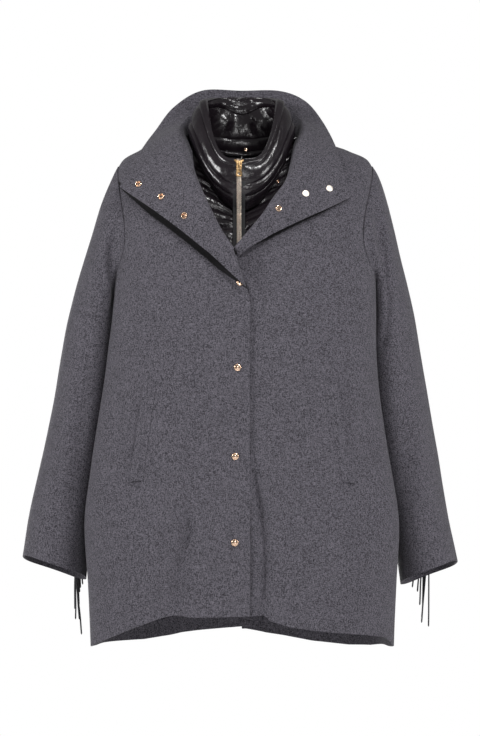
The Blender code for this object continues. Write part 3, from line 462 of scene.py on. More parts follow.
def folds(points, normals, part):
    """How far the wool stands out of its plain form: its folds, and a slow unevenness."""
    x, z = points[..., 0] / MM, points[..., 2] / MM
    facing = normals[..., 1] * 1.2
    towards = {"front": smooth(0.5 - facing), "back": smooth(0.5 + facing)}
    height = 1.1 * lumps(points, (0.07, 0.2, 0.13), 3) + 0.5 * lumps(points, (0.03, 0.1, 0.05), 5)
    if part == "body":
        sunk = under_lapel(x, z, COLLAR_RIGHT, 5.5, 5.0) + under_lapel(x, z, COLLAR_LEFT, 3.5, 2.2)
        height = height + sunk * towards["front"]
    for fold in entries(FOLD_COLUMNS, FOLDS):
        if fold["part"] != part:
            continue
        run = np.array([fold["x1"] - fold["x0"], fold["z1"] - fold["z0"]], float)
        length = np.linalg.norm(run)
        along = ((x - fold["x0"]) * run[0] + (z - fold["z0"]) * run[1]) / length ** 2
        wander = 6 * np.sin(along * 5 + fold["x0"])
        off = ((x - fold["x0"]) * run[1] - (z - fold["z0"]) * run[0]) / length + wander
        fade = smooth((along + 0.15) / 0.35) * smooth((1.1 - along) / 0.3)
        reach = fold["reach"]
        shape = 0.7 * np.exp(-((off - 1.7 * reach) / (1.2 * reach)) ** 2) - np.exp(-(off / reach) ** 2)
        height = height + fold["depth"] * shape * fade * towards[fold["face"]]
    return height * MM * smooth(seam_distance(points) / (15 * MM))


# ---------------------------------------------------------------- meshes
def placed(name, data):
    obj = bpy.data.objects.new(name, data)
    bpy.context.scene.collection.objects.link(obj)
    return obj


def face_outwards(data):
    bm = bmesh.new()
    bm.from_mesh(data)
    bmesh.ops.recalc_face_normals(bm, faces=bm.faces)
    bm.to_mesh(data)
    bm.free()


def add_piece(name, data, finish):
    data.materials.append(finish)
    data.shade_smooth()
    data.set_sharp_from_angle(angle=math.radians(50))
    return placed(name, data)


def settle(obj):
    """Makes an object's modifiers part of its mesh."""
    made = bpy.data.meshes.new_from_object(obj.evaluated_get(bpy.context.evaluated_depsgraph_get()))
    obj.modifiers.clear()
    obj.data = made
    return obj


def rounded(obj, width, segments=3, angle=50):
    edge = obj.modifiers.new("rounded", "BEVEL")
    edge.width = width
    edge.segments = segments
    edge.limit_method = "ANGLE"
    edge.angle_limit = math.radians(angle)
    return settle(obj)


def shell(name, outer, inner, finish, edge, ring=False):
    """A closed wall between two grids of points, with rounded edges."""
    rows, cols = outer.shape[:2]
    at = np.arange(2 * rows * cols).reshape(2, rows, cols)
    if ring:
        at = np.concatenate([at, at[:, :, :1]], 2)
    quads = [np.stack([g[:-1, :-1], g[:-1, 1:], g[1:, 1:], g[1:, :-1]], -1).reshape(-1, 4)
             for g in at]
    rims = [at[:, 0, :], at[:, -1, :]] + ([] if ring else [at[:, :, 0], at[:, :, -1]])
    for rim in rims:
        quads.append(np.stack([rim[0, :-1], rim[0, 1:], rim[1, 1:], rim[1, :-1]], -1))
    points = np.concatenate([outer.reshape(-1, 3), inner.reshape(-1, 3)])
    data = bpy.data.meshes.new(name)
    data.from_pydata(points.tolist(), [], np.concatenate(quads).tolist())
    face_outwards(data)
    return rounded(add_piece(name, data, finish), edge)


def turned(name, profile, finish, point, direction):
    """A turned shape: its profile of radius and height stands on a point."""
    data = bpy.data.meshes.new(name)
    edges = [(i, i + 1) for i in range(len(profile) - 1)]
    data.from_pydata([(r * MM, 0, h * MM) for r, h in profile], edges, [])
    obj = add_piece(name, data, finish)
    screw = obj.modifiers.new("turned", "SCREW")
    screw.steps = screw.render_steps = 36
    screw.use_merge_vertices = True
    screw.merge_threshold = 1e-6
    screw.use_smooth_shade = True
    settle(obj)
    face_outwards(obj.data)
    turn = Vector(direction).to_track_quat("Z", "Y").to_matrix().to_4x4()
    obj.data.transform(Matrix.Translation(Vector(point)) @ turn)
    obj.data.set_sharp_from_angle(angle=math.radians(40))
    return obj


# ---------------------------------------------------------------- shader maths
class Value:
    """A socket's value: an expression on it adds its Math nodes."""

    def __init__(self, finish, socket):
        self.finish, self.socket = finish, socket

    def maths(self, operation, first, second):
        return self.finish.node("ShaderNodeMath", {"operation": operation}, {0: first, 1: second})

    def __add__(self, other):
        return self.maths("ADD", self, other)

    def __sub__(self, other):
        return self.maths("SUBTRACT", self, other)

    def __rsub__(self, other):
        return self.maths("SUBTRACT", other, self)

    def __mul__(self, other):
        return self.maths("MULTIPLY", self, other)

    def __pow__(self, other):
        return self.maths("POWER", self, other)

    __radd__, __rmul__ = __add__, __mul__


def titled(words):
    """The shader's own name of a socket."""
    return words.replace("_", " ").title().replace("Ior", "IOR")


class Finish:
    """A material whose nodes are added one by one."""

    def __init__(self, name, **fixed):
        self.material = bpy.data.materials.new(name)
        self.material.use_nodes = True
        self.tree = self.material.node_tree
        self.shader = self.tree.nodes["Principled BSDF"]
        for socket, value in fixed.items():
            self.shader.inputs[titled(socket)].default_value = value
        self.place = self.node("ShaderNodeTexCoord", {}, {}, "Object")

    def node(self, kind, settings, inputs, output=0):
        made = self.tree.nodes.new(kind)
        for name, value in settings.items():
            setattr(made, name, value)
        for socket, value in inputs.items():
            if isinstance(value, Value):
                self.tree.links.new(value.socket, made.inputs[socket])
            else:
                made.inputs[socket].default_value = value
        return Value(self, made.outputs[output])

    def along(self, axis):
        return self.node("ShaderNodeSeparateXYZ", {}, {"Vector": self.place}, axis)

    def noise(self, scale, detail, stretch=(1, 1, 1), turn=(0, 0, 0), distortion=0.0):
        place = self.node("ShaderNodeMapping", {},
                          {"Vector": self.place, "Scale": stretch, "Rotation": turn})
        return self.node("ShaderNodeTexNoise", {}, {"Vector": place, "Scale": scale, "Detail": detail,
                                                    "Distortion": distortion}, "Fac")

    def bands(self, direction, scale, distortion):
        return self.node("ShaderNodeTexWave", {"wave_type": "BANDS", "bands_direction": direction},
                         {"Vector": self.place, "Scale": scale, "Distortion": distortion, "Detail": 1.0},
                         "Fac")

    def steps(self, value, low, high):
        """A value spread from 0 at low to 1 at high."""
        return self.node("ShaderNodeMapRange", {"clamp": True}, {"Value": value, "From Min": low,
                                                                 "From Max": high})

    def mix(self, share, first, second):
        return self.node("ShaderNodeMix", {"data_type": "RGBA"}, {0: share, 6: first, 7: second}, 2)

    def ends(self, **sockets):
        for socket, value in sockets.items():
            self.tree.links.new(value.socket, self.shader.inputs[titled(socket)])
        return self.material

    def bump(self, height, depth, strength):
        return self.node("ShaderNodeBump", {},
                         {"Height": height, "Distance": depth, "Strength": strength}, "Normal")


def wool_finish(name, shade=None):
    """Brushed wool: fibres of two greys, matted in all directions, and with painted shade, near black, in a
    band below a lapel's edge.
    """
    wool = Finish(name, roughness=0.95, specular_ior_level=0.2, sheen_weight=0.05, sheen_roughness=0.6)
    fibres = [wool.noise(780, 2, (1, 1, 0.25), (0.3, 0.5, 0.9)),
              wool.noise(700, 2, (0.25, 1, 1), (0.2, 1.1, 0.4)),
              wool.noise(640, 2, (1, 0.3, 1), (1.2, 0.3, 1.9))]
    tufts = wool.noise(680, 2)
    clouds = wool.noise(38, 3)
    matted = (fibres[0] + fibres[1] + fibres[2]) * 0.2 + tufts * 0.4
    share = wool.steps(matted + (clouds - 0.5) * 0.03, 0.41, 0.59)
    colour = wool.mix(share, DARK_FIBRE, LIGHT_FIBRE)
    if shade:
        edge, ends, width = shade
        x, z = wool.along("X"), wool.along("Z")
        fall = edge[0] + x * edge[1] + x * x * edge[2] - z + (tufts - 0.5) * 2.5 * MM
        middle, half = (ends[0] + ends[1]) / 2, (ends[1] - ends[0]) / 2
        inside = 1 - ((x - middle) * (1 / half)) ** 2
        reach = wool.steps(inside, 0.0, 0.75) * width
        painted_shadow = wool.steps(reach - fall, -0.8 * MM, 1.2 * MM) * wool.steps(fall, -9 * MM, -7 * MM)
        painted_shadow = painted_shadow * wool.steps(inside, 0.0, 0.04)
        # painted shadow: the wool in this band is darkened to near black, standing in for the shade under
        # the lapel's edge
        colour = wool.mix(painted_shadow * 0.94, colour, (0.0015, 0.0012, 0.0015, 1))
    height = fibres[0] * 0.5 + fibres[1] * 0.5 + tufts * 0.6
    return wool.ends(base_color=colour, roughness=0.9 + 0.1 * share,
                     normal=wool.bump(height, 0.6 * MM, 0.9))


def nylon_finish(name, gloss):
    """Thin glossy nylon over down: small wrinkles, and a slow change of gloss."""
    nylon = Finish(name, specular_ior_level=0.42)
    wrinkles = nylon.noise(120, 3, (1, 1, 0.5), (0, 0.4, 0), 1.0)
    small = nylon.noise(300, 2, (0.45, 1, 1), (0, 0, 0.4))
    worn = nylon.noise(60, 2)
    colour = nylon.mix(worn, (0.0065, 0.0045, 0.0062, 1), (0.013, 0.0095, 0.0125, 1))
    return nylon.ends(base_color=colour, roughness=gloss + 0.12 * worn,
                      normal=nylon.bump(wrinkles + 0.2 * small, 1.0 * MM, 0.55))


def tape_finish():
    """Woven zip tape: fine ribs down the tape, crossed by its weft."""
    tape = Finish("zip_tape_woven", roughness=0.8)
    ribs = tape.bands("X", 420, 0.4)
    weft = tape.bands("Z", 330, 0.3)
    weave = ribs * 0.7 + weft * 0.5
    colour = tape.mix(weave, (0.007, 0.007, 0.008, 1), (0.022, 0.022, 0.024, 1))
    return tape.ends(base_color=colour, normal=tape.bump(weave, 0.18 * MM, 0.8))


def metal_finish(name, colour, worn_colour, roughness):
    """Plated metal: cloudy in colour, and finely scratched."""
    metal = Finish(name, metallic=1.0)
    cloudy = metal.noise(420, 3)
    scratches = metal.noise(700, 2, (1, 1, 0.08), (0.5, 0.2, 0.3))
    shade = metal.mix(metal.steps(cloudy, 0.35, 0.75), (*colour, 1), (*worn_colour, 1))
    return metal.ends(base_color=shade, roughness=roughness + 0.12 * scratches,
                      normal=metal.bump(scratches, 0.03 * MM, 0.5))


def cord_finish():
    """Matt black cord of the fringe, with its slanting twist."""
    cord = Finish("fringe_cord", roughness=0.72, sheen_weight=0.1)
    twist = cord.bands("DIAGONAL", 260, 1.0)
    hairs = cord.noise(900, 2)
    colour = cord.mix(twist * 0.6 + hairs * 0.4, (0.006, 0.006, 0.008, 1), (0.026, 0.026, 0.032, 1))
    return cord.ends(base_color=colour, normal=cord.bump(twist + 0.4 * hairs, 0.3 * MM, 0.8))


DARK_FIBRE, LIGHT_FIBRE = (0.0150, 0.0140, 0.0180, 1), (0.122, 0.114, 0.135, 1)
WOOL_FACE = wool_finish("wool_melange")
# a lapel's edge: z as a curve of x, from and to which x the cloth below gets painted shade, and how far
# down the painted shade reaches
PAINTED_SHADE_RIGHT = (-0.1975, -0.9486, -0.8885), (-185 * MM, 16 * MM), 12.5 * MM
PAINTED_SHADE_LEFT = (-0.1515, 0.5756, -0.4855), (3 * MM, 157 * MM), 4.8 * MM
# the two fronts' wool, with painted shade under the lapels
WOOL_WITH_PAINTED_SHADE = {"wool_front_right": wool_finish("wool_painted_shade_right_lapel", PAINTED_SHADE_RIGHT),
           "wool_front_left": wool_finish("wool_painted_shade_left_lapel", PAINTED_SHADE_LEFT)}
NYLON_FACE = nylon_finish("nylon_glossy", 0.16)
TAPE = tape_finish()
ROSE_GOLD = metal_finish("rose_gold", (0.74, 0.53, 0.39), (0.56, 0.37, 0.26), 0.10)
ZIP_GOLD = metal_finish("zip_gold", (0.40, 0.26, 0.125), (0.20, 0.125, 0.06), 0.22)
TEETH = metal_finish("zip_teeth_pale", (0.80, 0.70, 0.60), (0.62, 0.52, 0.44), 0.26)
# a paler copy of the rose gold for two lapel caps: painted reflection of a bright lamp on their faces
GOLD_WITH_PAINTED_REFLECTION = metal_finish("gold_with_painted_reflection", (0.95, 0.88, 0.80), (0.80, 0.70, 0.62), 0.42)
CORD = cord_finish()


# ---------------------------------------------------------------- repeats, with geometry nodes
RANDOM_LEAST, RANDOM_MOST, RANDOM_RESULT = 2, 3, 1   # the number sockets of a Random Value node


def scatter_tree():
    """Puts copies of a shape on points that carry which way is along and which is out."""
    tree = bpy.data.node_groups.new("copies_on_points", "GeometryNodeTree")
    face = tree.interface
    for name, kind in (("Points", "Geometry"), ("Shape", "Object"), ("Finish", "Material"),
                       ("Least size", "Float"), ("Most size", "Float"), ("Sway", "Float"), ("Seed", "Int")):
        face.new_socket(name, in_out="INPUT", socket_type=f"NodeSocket{kind}")
    face.new_socket("Copies", in_out="OUTPUT", socket_type="NodeSocketGeometry")

    def add(kind, settings, inputs):
        made = tree.nodes.new(kind)
        for name, value in settings.items():
            setattr(made, name, value)
        for socket, value in inputs.items():
            if isinstance(value, bpy.types.NodeSocket):
                tree.links.new(value, made.inputs[socket])
            else:
                made.inputs[socket].default_value = value
        return made.outputs

    def attribute(name):
        stored = add("GeometryNodeInputNamedAttribute", {"data_type": "FLOAT_VECTOR"}, {"Name": name})
        return stored["Attribute"]

    given = add("NodeGroupInput", {}, {})
    along = add("FunctionNodeAlignRotationToVector", {"axis": "Z"}, {"Vector": attribute("along")})
    out = add("FunctionNodeAlignRotationToVector", {"axis": "Y", "pivot_axis": "Z"},
              {"Rotation": along[0], "Vector": attribute("out")})
    shape = add("GeometryNodeObjectInfo", {}, {"Object": given["Shape"]})
    size = add("FunctionNodeRandomValue", {"data_type": "FLOAT"},
               {RANDOM_LEAST: given["Least size"], RANDOM_MOST: given["Most size"],
                "Seed": given["Seed"]})
    tall = add("ShaderNodeCombineXYZ", {}, {"X": 1, "Y": 1, "Z": size[RANDOM_RESULT]})
    place = add("GeometryNodeInputPosition", {}, {})
    copies = add("GeometryNodeInstanceOnPoints", {},
                 {"Points": given["Points"], "Instance": shape["Geometry"], "Rotation": out[0],
                  "Scale": tall[0]})
    root = add("GeometryNodeStoreNamedAttribute", {"data_type": "FLOAT_VECTOR", "domain": "INSTANCE"},
               {"Name": "root", "Geometry": copies["Instances"], "Value": place[0]})
    real = add("GeometryNodeRealizeInstances", {}, {"Geometry": root["Geometry"]})
    below = add("ShaderNodeVectorMath", {"operation": "SUBTRACT"}, {0: place[0], 1: attribute("root")})
    far = add("ShaderNodeVectorMath", {"operation": "LENGTH"}, {0: below[0]})
    spread = add("ShaderNodeVectorMath", {"operation": "MULTIPLY_ADD"},
                 {0: attribute("root"), 1: (1, 40, 1), 2: place[0]})
    wind = add("ShaderNodeTexNoise", {}, {"Vector": spread[0], "Scale": 11, "Detail": 1})
    push = add("ShaderNodeVectorMath", {"operation": "SUBTRACT"}, {0: wind["Color"], 1: (0.5, 0.5, 0.5)})
    amount = add("ShaderNodeMath", {"operation": "MULTIPLY"}, {0: far["Value"], 1: given["Sway"]})
    swayed = add("ShaderNodeVectorMath", {"operation": "SCALE"}, {0: push[0], "Scale": amount[0]})
    moved = add("GeometryNodeSetPosition", {}, {"Geometry": real[0], "Offset": swayed[0]})
    painted = add("GeometryNodeSetMaterial", {}, {"Geometry": moved[0], "Material": given["Finish"]})
    add("NodeGroupOutput", {}, {0: painted[0]})
    return tree


COPIES = scatter_tree()


def repeat(name, shape, finish, points, along, out, least=1.0, most=1.0, sway=0.0, seed=1):
    """One piece from copies of a shape, each on its point."""
    data = bpy.data.meshes.new(name)
    data.from_pydata(np.asarray(points).tolist(), [], [])
    for label, vectors in (("along", along), ("out", out)):
        stored = data.attributes.new(label, "FLOAT_VECTOR", "POINT")
        spread = np.broadcast_to(vectors, np.shape(points)).astype(np.float32)
        stored.data.foreach_set("vector", spread.ravel())
    obj = placed(name, data)
    copies = obj.modifiers.new("copies", "NODES")
    copies.node_group = COPIES
    given = {"Shape": shape, "Finish": finish, "Least size": least, "Most size": most,
             "Sway": sway, "Seed": seed}
    for socket in COPIES.interface.items_tree:
        if socket.name in given:
            copies[socket.identifier] = given[socket.name]
    settle(obj)
    for label in ("along", "out", "root"):
        if label in obj.data.attributes:
            obj.data.attributes.remove(obj.data.attributes[label])
    bpy.data.objects.remove(shape)
    obj.data.shade_smooth()
    return obj


def small_shape(name, points, faces):
    data = bpy.data.meshes.new(name)
    data.from_pydata(points, [], faces)
    face_outwards(data)
    return placed(name, data)


def tube(name, profile, sides):
    """A short thread or cord along Z: its profile gives height, radius across and radius out."""
    points, faces = [], []
    for h, across, out in profile:
        for i in range(sides):
            a = 2 * math.pi * i / sides
            points.append((across * math.cos(a), out * math.sin(a), h))
    for ring in range(len(profile) - 1):
        for i in range(sides):
            j = (i + 1) % sides
            here, ahead = ring * sides, (ring + 1) * sides
            faces.append((here + i, here + j, ahead + j, ahead + i))
    faces.append(tuple(range(sides)))
    faces.append(tuple(range(len(points) - sides, len(points))))
    return small_shape(name, points, faces)


def spaced(line, pitch):
    """Points at a pitch along a line, with its direction there."""
    step = np.linalg.norm(np.diff(line, axis=0), axis=1)
    run = np.concatenate([[0], np.cumsum(step)])
    at = np.arange(pitch / 2, run[-1], pitch)
    points, ahead, back = (np.stack([np.interp(at + shift, run, line[:, i]) for i in range(3)], -1)
                           for shift in (0, pitch / 4, -pitch / 4))
    return points, unit(ahead - back)


# ---------------------------------------------------------------- wool pieces
GRIDS = {"front": (190, 80), "back": (150, 64), "underlap": (50, 16), "sleeve": (130, 116),
         "collar": (121, 45), "welt": (60, 14), "vest_collar": (128, 280)}   # points down and across
FRONT_GATHER, BIB_GATHER, VEST_GATHER = 1.12, 1.35, 1.3   # above 1, more points where more shows
UNDERLAP_FROM, UNDERLAP_FADE = 50 * MM, 32 * MM           # where the left front goes under the right


def grid_shares(piece):
    """Shares from 0 to 1, down and across a piece's grid."""
    down, across = GRIDS[piece]
    return np.linspace(0, 1, down)[:, None], np.linspace(0, 1, across)


def dress(obj, slot, *nodes, body_name="garment"):
    """Gives a piece its body, and hides the CAD nodes that it stands for; its slot is not used."""
    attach(obj, body_name)
    if nodes:
        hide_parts(*nodes)
    return obj


def wool_wall(name, node, outer, part, normal_sign, edge=WOOL_EDGE, ring=False):
    """A piece of wool: its outer grid gets folds, and the inner face follows it."""
    normals = grid_normals(outer, ring) * normal_sign
    outer = outer + normals * folds(outer, normals, part)[..., None]
    normals = grid_normals(outer, ring) * normal_sign
    inner = outer - normals * WOOL
    return dress(shell(name, outer, inner, WOOL_WITH_PAINTED_SHADE.get(name, WOOL_FACE), edge, ring), "wool", node)


def front_panel(side):
    down, across = grid_shares("front")
    rows = LAST_ROW * down ** FRONT_GATHER
    edge = MM * read(BODY[f"{WORDS[side]}_edge"], rows)
    start = angle_at(edge, rows)
    end = pulled_back(side * (math.pi / 2 - armhole(rows)), rows, 0)
    angle = start + (end - start) * across
    rows = np.broadcast_to(rows, angle.shape)
    under = np.zeros(angle.shape)
    if side == LEFT:
        x = body(angle, rows)[..., 0]
        under = MM * read(BODY["underlap"], rows) * smooth((UNDERLAP_FROM - x) / UNDERLAP_FADE)
    half = f"front_{WORDS[side]}"
    wool_wall(f"wool_{half}", half, inset(angle, rows, under), "body", side)


def back_panel(side):
    half = f"back_{WORDS[side]}"
    down, across = grid_shares("back")
    rows = LAST_ROW * down
    start = angle_at(np.full(rows.shape, side * SEAM / 2), rows, back=True)
    side_angle = math.pi / 2 if side == LEFT else 3 * math.pi / 2
    end = pulled_back(side_angle + side * armhole(rows), rows, math.pi)
    angle = start + (end - start) * across
    rows = np.broadcast_to(rows, angle.shape)
    wool_wall(f"wool_{half}", half, inset(angle, rows, 0 * angle, half), "body", -side)


def vent_underlap():
    down, across = grid_shares("underlap")
    rows = VENT_ROW + (LAST_ROW - VENT_ROW) * down
    angle = angle_at(VENT_START + (VENT_EDGE - VENT_START) * across, rows, back=True)
    rows = np.broadcast_to(rows, angle.shape)
    outer = inset(angle, rows, np.full(angle.shape, VENT_INSET))
    wool_wall("wool_vent_underlap", "vent_underlap", outer, "body", 1)


def sleeve(side):
    down, around = GRIDS["sleeve"]
    rows = (len(SLEEVE_ROWS) - 1) * np.linspace(0, 1, down)[:, None]
    turn = np.linspace(0, 2 * math.pi, around, endpoint=False)
    outer = sleeve_surface(side, turn, rows)
    normal = grid_normals(outer, ring=True)
    sign = 1 if ((outer - outer.mean(axis=1, keepdims=True)) * normal).sum() > 0 else -1
    wool_wall(f"wool_sleeve_{WORDS[side]}", f"sleeve_{WORDS[side]}", outer, "sleeve", sign, SLEEVE_EDGE,
              ring=True)


def collar_half(rows_table, steps, across):
    """Middle of the collar's cloth, a section for each step from the back to a lapel's foot."""
    table = columns(COLLAR_COLUMNS, rows_table)
    at = np.linspace(0, len(rows_table) - 1, steps)
    seam, roll = (np.stack([read(table[f"{part}_{axis}"], at) for axis in "xyz"], -1)
                  for part in ("seam", "roll"))
    seam[:, 2] -= COLLAR_FOOT_DROP * np.sin(math.pi * at / (len(rows_table) - 1))
    edge = np.stack([np.where(at < TIP_ROW, read(table[f"edge_{axis}"][:TIP_ROW + 1], at),
                              np.interp(at, np.arange(len(rows_table)), table[f"edge_{axis}"]))
                     for axis in "xyz"], -1)
    lift = read(table["lift"], at)[:, None] * np.array([0, -0.75, 0.65])
    shoulder = roll + (edge - roll) * 0.14 + lift
    middle = roll + (edge - roll) * 0.55 + lift * 0.7
    stations = np.stack([seam, roll, shoulder, middle, edge])
    sections = [np.stack([read(stations[:, i, axis], across) for axis in range(3)], -1)
                for i in range(steps)]
    return MM * np.stack(sections)


def collar_faces():
    """Both faces of the whole collar, from the right lapel's foot to the left one's."""
    steps, cols = GRIDS["collar"]
    across = np.linspace(0, 4, cols)          # 0 is the seam, 1 the roll and 4 the edge
    right, left = collar_half(COLLAR_RIGHT, steps, across), collar_half(COLLAR_LEFT, steps, across)
    grid = np.concatenate([right[::-1], left[1:]])
    normal = grid_normals(grid)
    uneven = 0.7 * MM * lumps(grid, (0.06, 0.06, 0.05), 9)
    grid = grid + normal * (uneven * smooth((across - 1.2) / 1.5))[..., None]
    normal = grid_normals(grid)
    return grid + normal * LAPEL / 2, grid - normal * LAPEL / 2


def collar():
    face, back = collar_faces()
    dress(shell("wool_collar", face, back, WOOL_FACE, edge=1.2 * MM), "wool", "collar")


def welt(side, **corners):
    """A pocket's welt, lying on its front and made from that front's points."""
    down, across = grid_shares("welt")
    edges = {(edge, axis): corners[f"{edge}_top_{axis}"]
             + (corners[f"{edge}_foot_{axis}"] - corners[f"{edge}_top_{axis}"]) * down
             for edge in ("outer", "inner") for axis in "xz"}
    x, z = (edges["outer", axis] * (1 - across) + edges["inner", axis] * across for axis in "xz")
    angle, row = on_front(MM * x, MM * z)
    foot = inset(angle, row, np.full(angle.shape, -SEAM))
    normal = body_normal(angle, row)
    foot = foot + normal * folds(foot, normal, "body")[..., None]
    mouth = smooth((1 - across) / 0.55)
    top = foot + normal * (SEAM + WOOL * 1.5 * mouth)[..., None]
    name = f"welt_{WORDS[side]}"
    dress(shell(f"wool_{name}", top, foot, WOOL_FACE, edge=1.0 * MM), "wool", name)


# ---------------------------------------------------------------- the quilted vest
def creased(across, down, size, seed, slant=0.0):
    """Rounded puffs parted by sharp creases, from 0 in a crease to 1."""
    at = np.stack([(across + slant * down) / size[0], (down - slant * across) / size[1],
                   0 * across + seed], -1)
    return np.abs(lumps(at, 1)) ** 0.7


def streaks(face):
    """Long pleats that run down to the zip, on the bib."""
    along = np.abs(face[..., 0] - ZIP_X)
    below = face[..., 2] - 0.5 * along
    side = np.sign(face[..., 0] - ZIP_X)
    bib = smooth((face[..., 2] + 0.24) / 0.04) * (face[..., 1] < 0)
    drift = lumps(np.stack([along / 0.05, below / 0.03, side * 2.5], -1), 1)
    strength = 0.8 + 0.35 * lumps(np.stack([along / 0.03, below / 0.02, side * 7.5], -1), 1)
    pleat = np.abs(np.sin(math.pi * (below / (14 * MM) + 0.9 * drift)))
    return 3.2 * MM * (pleat - 0.6) * bib * strength


def wrinkled(run, down, puff, seed):
    """Creases of the nylon, in metres: short ones by the seams, wide ones on the channels."""
    by_seam = 1 - puff
    short = creased(run, down, (7 * MM, 16 * MM), seed, 0.25) * (0.5 + 1.2 * by_seam)
    wide = creased(run, down, (34 * MM, 20 * MM), seed + 8, -0.45)
    fold = creased(run, down, (19 * MM, 10 * MM), seed + 3, 0.6)
    return MM * (1.0 * (short - 0.5) + 2.4 * (wide - 0.55) * puff + 1.1 * (fold - 0.5) * puff)


VEST_PITCH = 25 * MM
BIB_SLOPE = 0.42


def vest_channel(points):
    """Which quilted channel a point of the vest lies in: they slope down to the zip on the bib."""
    x, z = points[..., 0], points[..., 2]
    slope = BIB_SLOPE * smooth((z + 0.20) / 0.09) * (points[..., 1] < 0)
    return (z - slope * np.abs(x - ZIP_X)) / VEST_PITCH + 30


def vest_panel(place, start, end, count, cols, seed, gather=1.0):
    """A quilted panel between two angles; its points gather where more of it shows."""
    rows = (0.02 + (LAST_ROW - 0.02) * np.linspace(0, 1, count) ** VEST_GATHER)[:, None]
    first, last = start(rows), end(rows)
    share = np.linspace(0, 1, cols) ** gather
    angle = first + (last - first) * share
    low = vest_end_row(angle[-1])
    rows = rows + (low - LAST_ROW) * smooth((rows / LAST_ROW - 0.7) / 0.3)
    face = vest_body(angle, rows)
    channel = vest_channel(face)
    puff = np.abs(np.sin(math.pi * channel)) ** 0.55
    run = np.cumsum(np.linalg.norm(np.diff(face, axis=1, prepend=face[:, :1]), axis=-1), axis=1)
    total = run[:, -1:]
    edge = smooth(np.minimum(run, total - run) / (14 * MM))
    down = np.cumsum(np.linalg.norm(np.diff(face, axis=0, prepend=face[:1]), axis=-1), axis=0)
    away = 1 - 0.8 * smooth((face[..., 2] + 0.24) / 0.04) * (face[..., 1] < 0)
    relief = (3.2 * MM * puff + wrinkled(run, down, puff, seed) * away + streaks(face)) * edge
    outer = vest_body(angle, rows, 2.2 * MM - relief)
    inner = vest_body(angle, rows, PADDING - 2.0 * MM + 0.6 * relief)
    obj = shell(f"quilt_{place}", outer, inner, NYLON_FACE, edge=0.6 * MM)
    dress(obj, "nylon", f"vest_{place}")


def vest_pieces():
    def zip_edge(side):
        return lambda rows: angle_at(np.full(rows.shape, ZIP_X + side * 1.2 * SEAM), rows)

    def flank(turn, away):
        return lambda rows: turn + away * (armhole(rows) * 1.12 + 0.004)

    quarter = math.pi / 2
    for seed, side in ((1, RIGHT), (2, LEFT)):
        vest_panel(f"front_{WORDS[side]}", zip_edge(side), flank(side * quarter, -side), 240, 80,
                   seed, BIB_GATHER)
    vest_panel("back", flank(quarter, 1), flank(3 * quarter, -1), 180, 84, seed=3)


OUTER_SEAMS = (0, 0.16, 0.52, 0.74, 1.0)     # the collar's seams, from its rim to its foot
INNER_SEAMS = (0, 0.17, 0.74, 0.93, 1.0)
BULGE_HEIGHT = 4.5 * MM
BULGE_COLUMNS = ("turn", "down", "size")     # the soft cells inside the collar's back
BULGES = (
    (-0.40, 0.46, 1.0),
    (0.40, 0.46, 1.0),
    (0.0, 0.60, 0.5),
)


def vest_collar():
    rows, cols = GRIDS["vest_collar"]
    down = np.linspace(0, 0.992, rows)[:, None]
    half_gap = 1.2 * SEAM / (RIM["front_depth"] * MM)
    angle = ZIP_X / NECK_RADIUS + np.linspace(half_gap, 2 * math.pi - half_gap, cols)
    middle, normal = neck_middle(angle, down), neck_normal(angle, down)
    half = thinned(NECK_PADDING + CHANNEL_PUFF, down) / 2
    run = np.cumsum(np.linalg.norm(np.diff(middle, axis=1, prepend=middle[:, :1]), axis=-1), axis=1)
    edge = smooth(np.minimum(run, run[:, -1:] - run) / (16 * MM)) * smooth(down / 0.05)
    height = np.cumsum(np.linalg.norm(np.diff(middle, axis=0, prepend=middle[:1]), axis=-1), axis=0)
    faces = []
    sag = 0.17 * np.exp(-((angle - math.pi) / 0.42) ** 2) * smooth(1.6 - 2.2 * down) * smooth(down * 8)
    for sign, seed, seams, crease in ((1, 5, OUTER_SEAMS, 0.3), (-1, 6, INNER_SEAMS, 0.5)):
        drift = 0.012 * lumps(np.stack([run / 0.09, 0 * run, 0 * run + seed], -1), 1)
        drift = drift - (sag if sign < 0 else 0)
        channel = np.interp(down + drift, seams, range(len(seams)))
        puff = np.abs(np.sin(math.pi * channel)) ** 0.5
        relief = (3.0 * MM * (puff - 0.75) + crease * wrinkled(run, height, puff, seed)) * edge
        if sign < 0:
            for bulge in entries(BULGE_COLUMNS, BULGES):
                off = ((angle - math.pi - bulge["turn"]) / 0.17) ** 2
                off_down = ((down - bulge["down"]) / 0.15) ** 2
                relief = relief + BULGE_HEIGHT * bulge["size"] * np.exp(-off - off_down)
        faces.append(middle + sign * normal * (half + relief)[..., None])
    obj = shell("quilt_collar", *faces, NYLON_FACE, edge=0.8 * MM)
    dress(obj, "nylon", "vest_collar")


# ---------------------------------------------------------------- zip
def zip_line(x, out, fine=160):
    """Points down the zip at x, over the collar and the vest to its hem, and the way out there."""
    down = np.linspace(0.03, 0.95, fine // 3)
    upper = neck_face(np.full(down.shape, x / NECK_RADIUS), down)
    rows = np.linspace(0.25, 11.2, fine)
    lower = vest_body(angle_at(np.full(rows.shape, x), rows), rows)
    line = np.concatenate([upper, lower])
    line[:, 0] = x
    along = np.gradient(line, axis=0)
    forward = unit(np.stack([np.zeros(len(line)), along[:, 2], -along[:, 1]], -1))
    over_seam = SEAM_LIFT * np.exp(-((line[:, 2] - line[len(down), 2] - 8 * MM) / (14 * MM)) ** 2)
    return line + forward * (out + over_seam[:, None]), forward


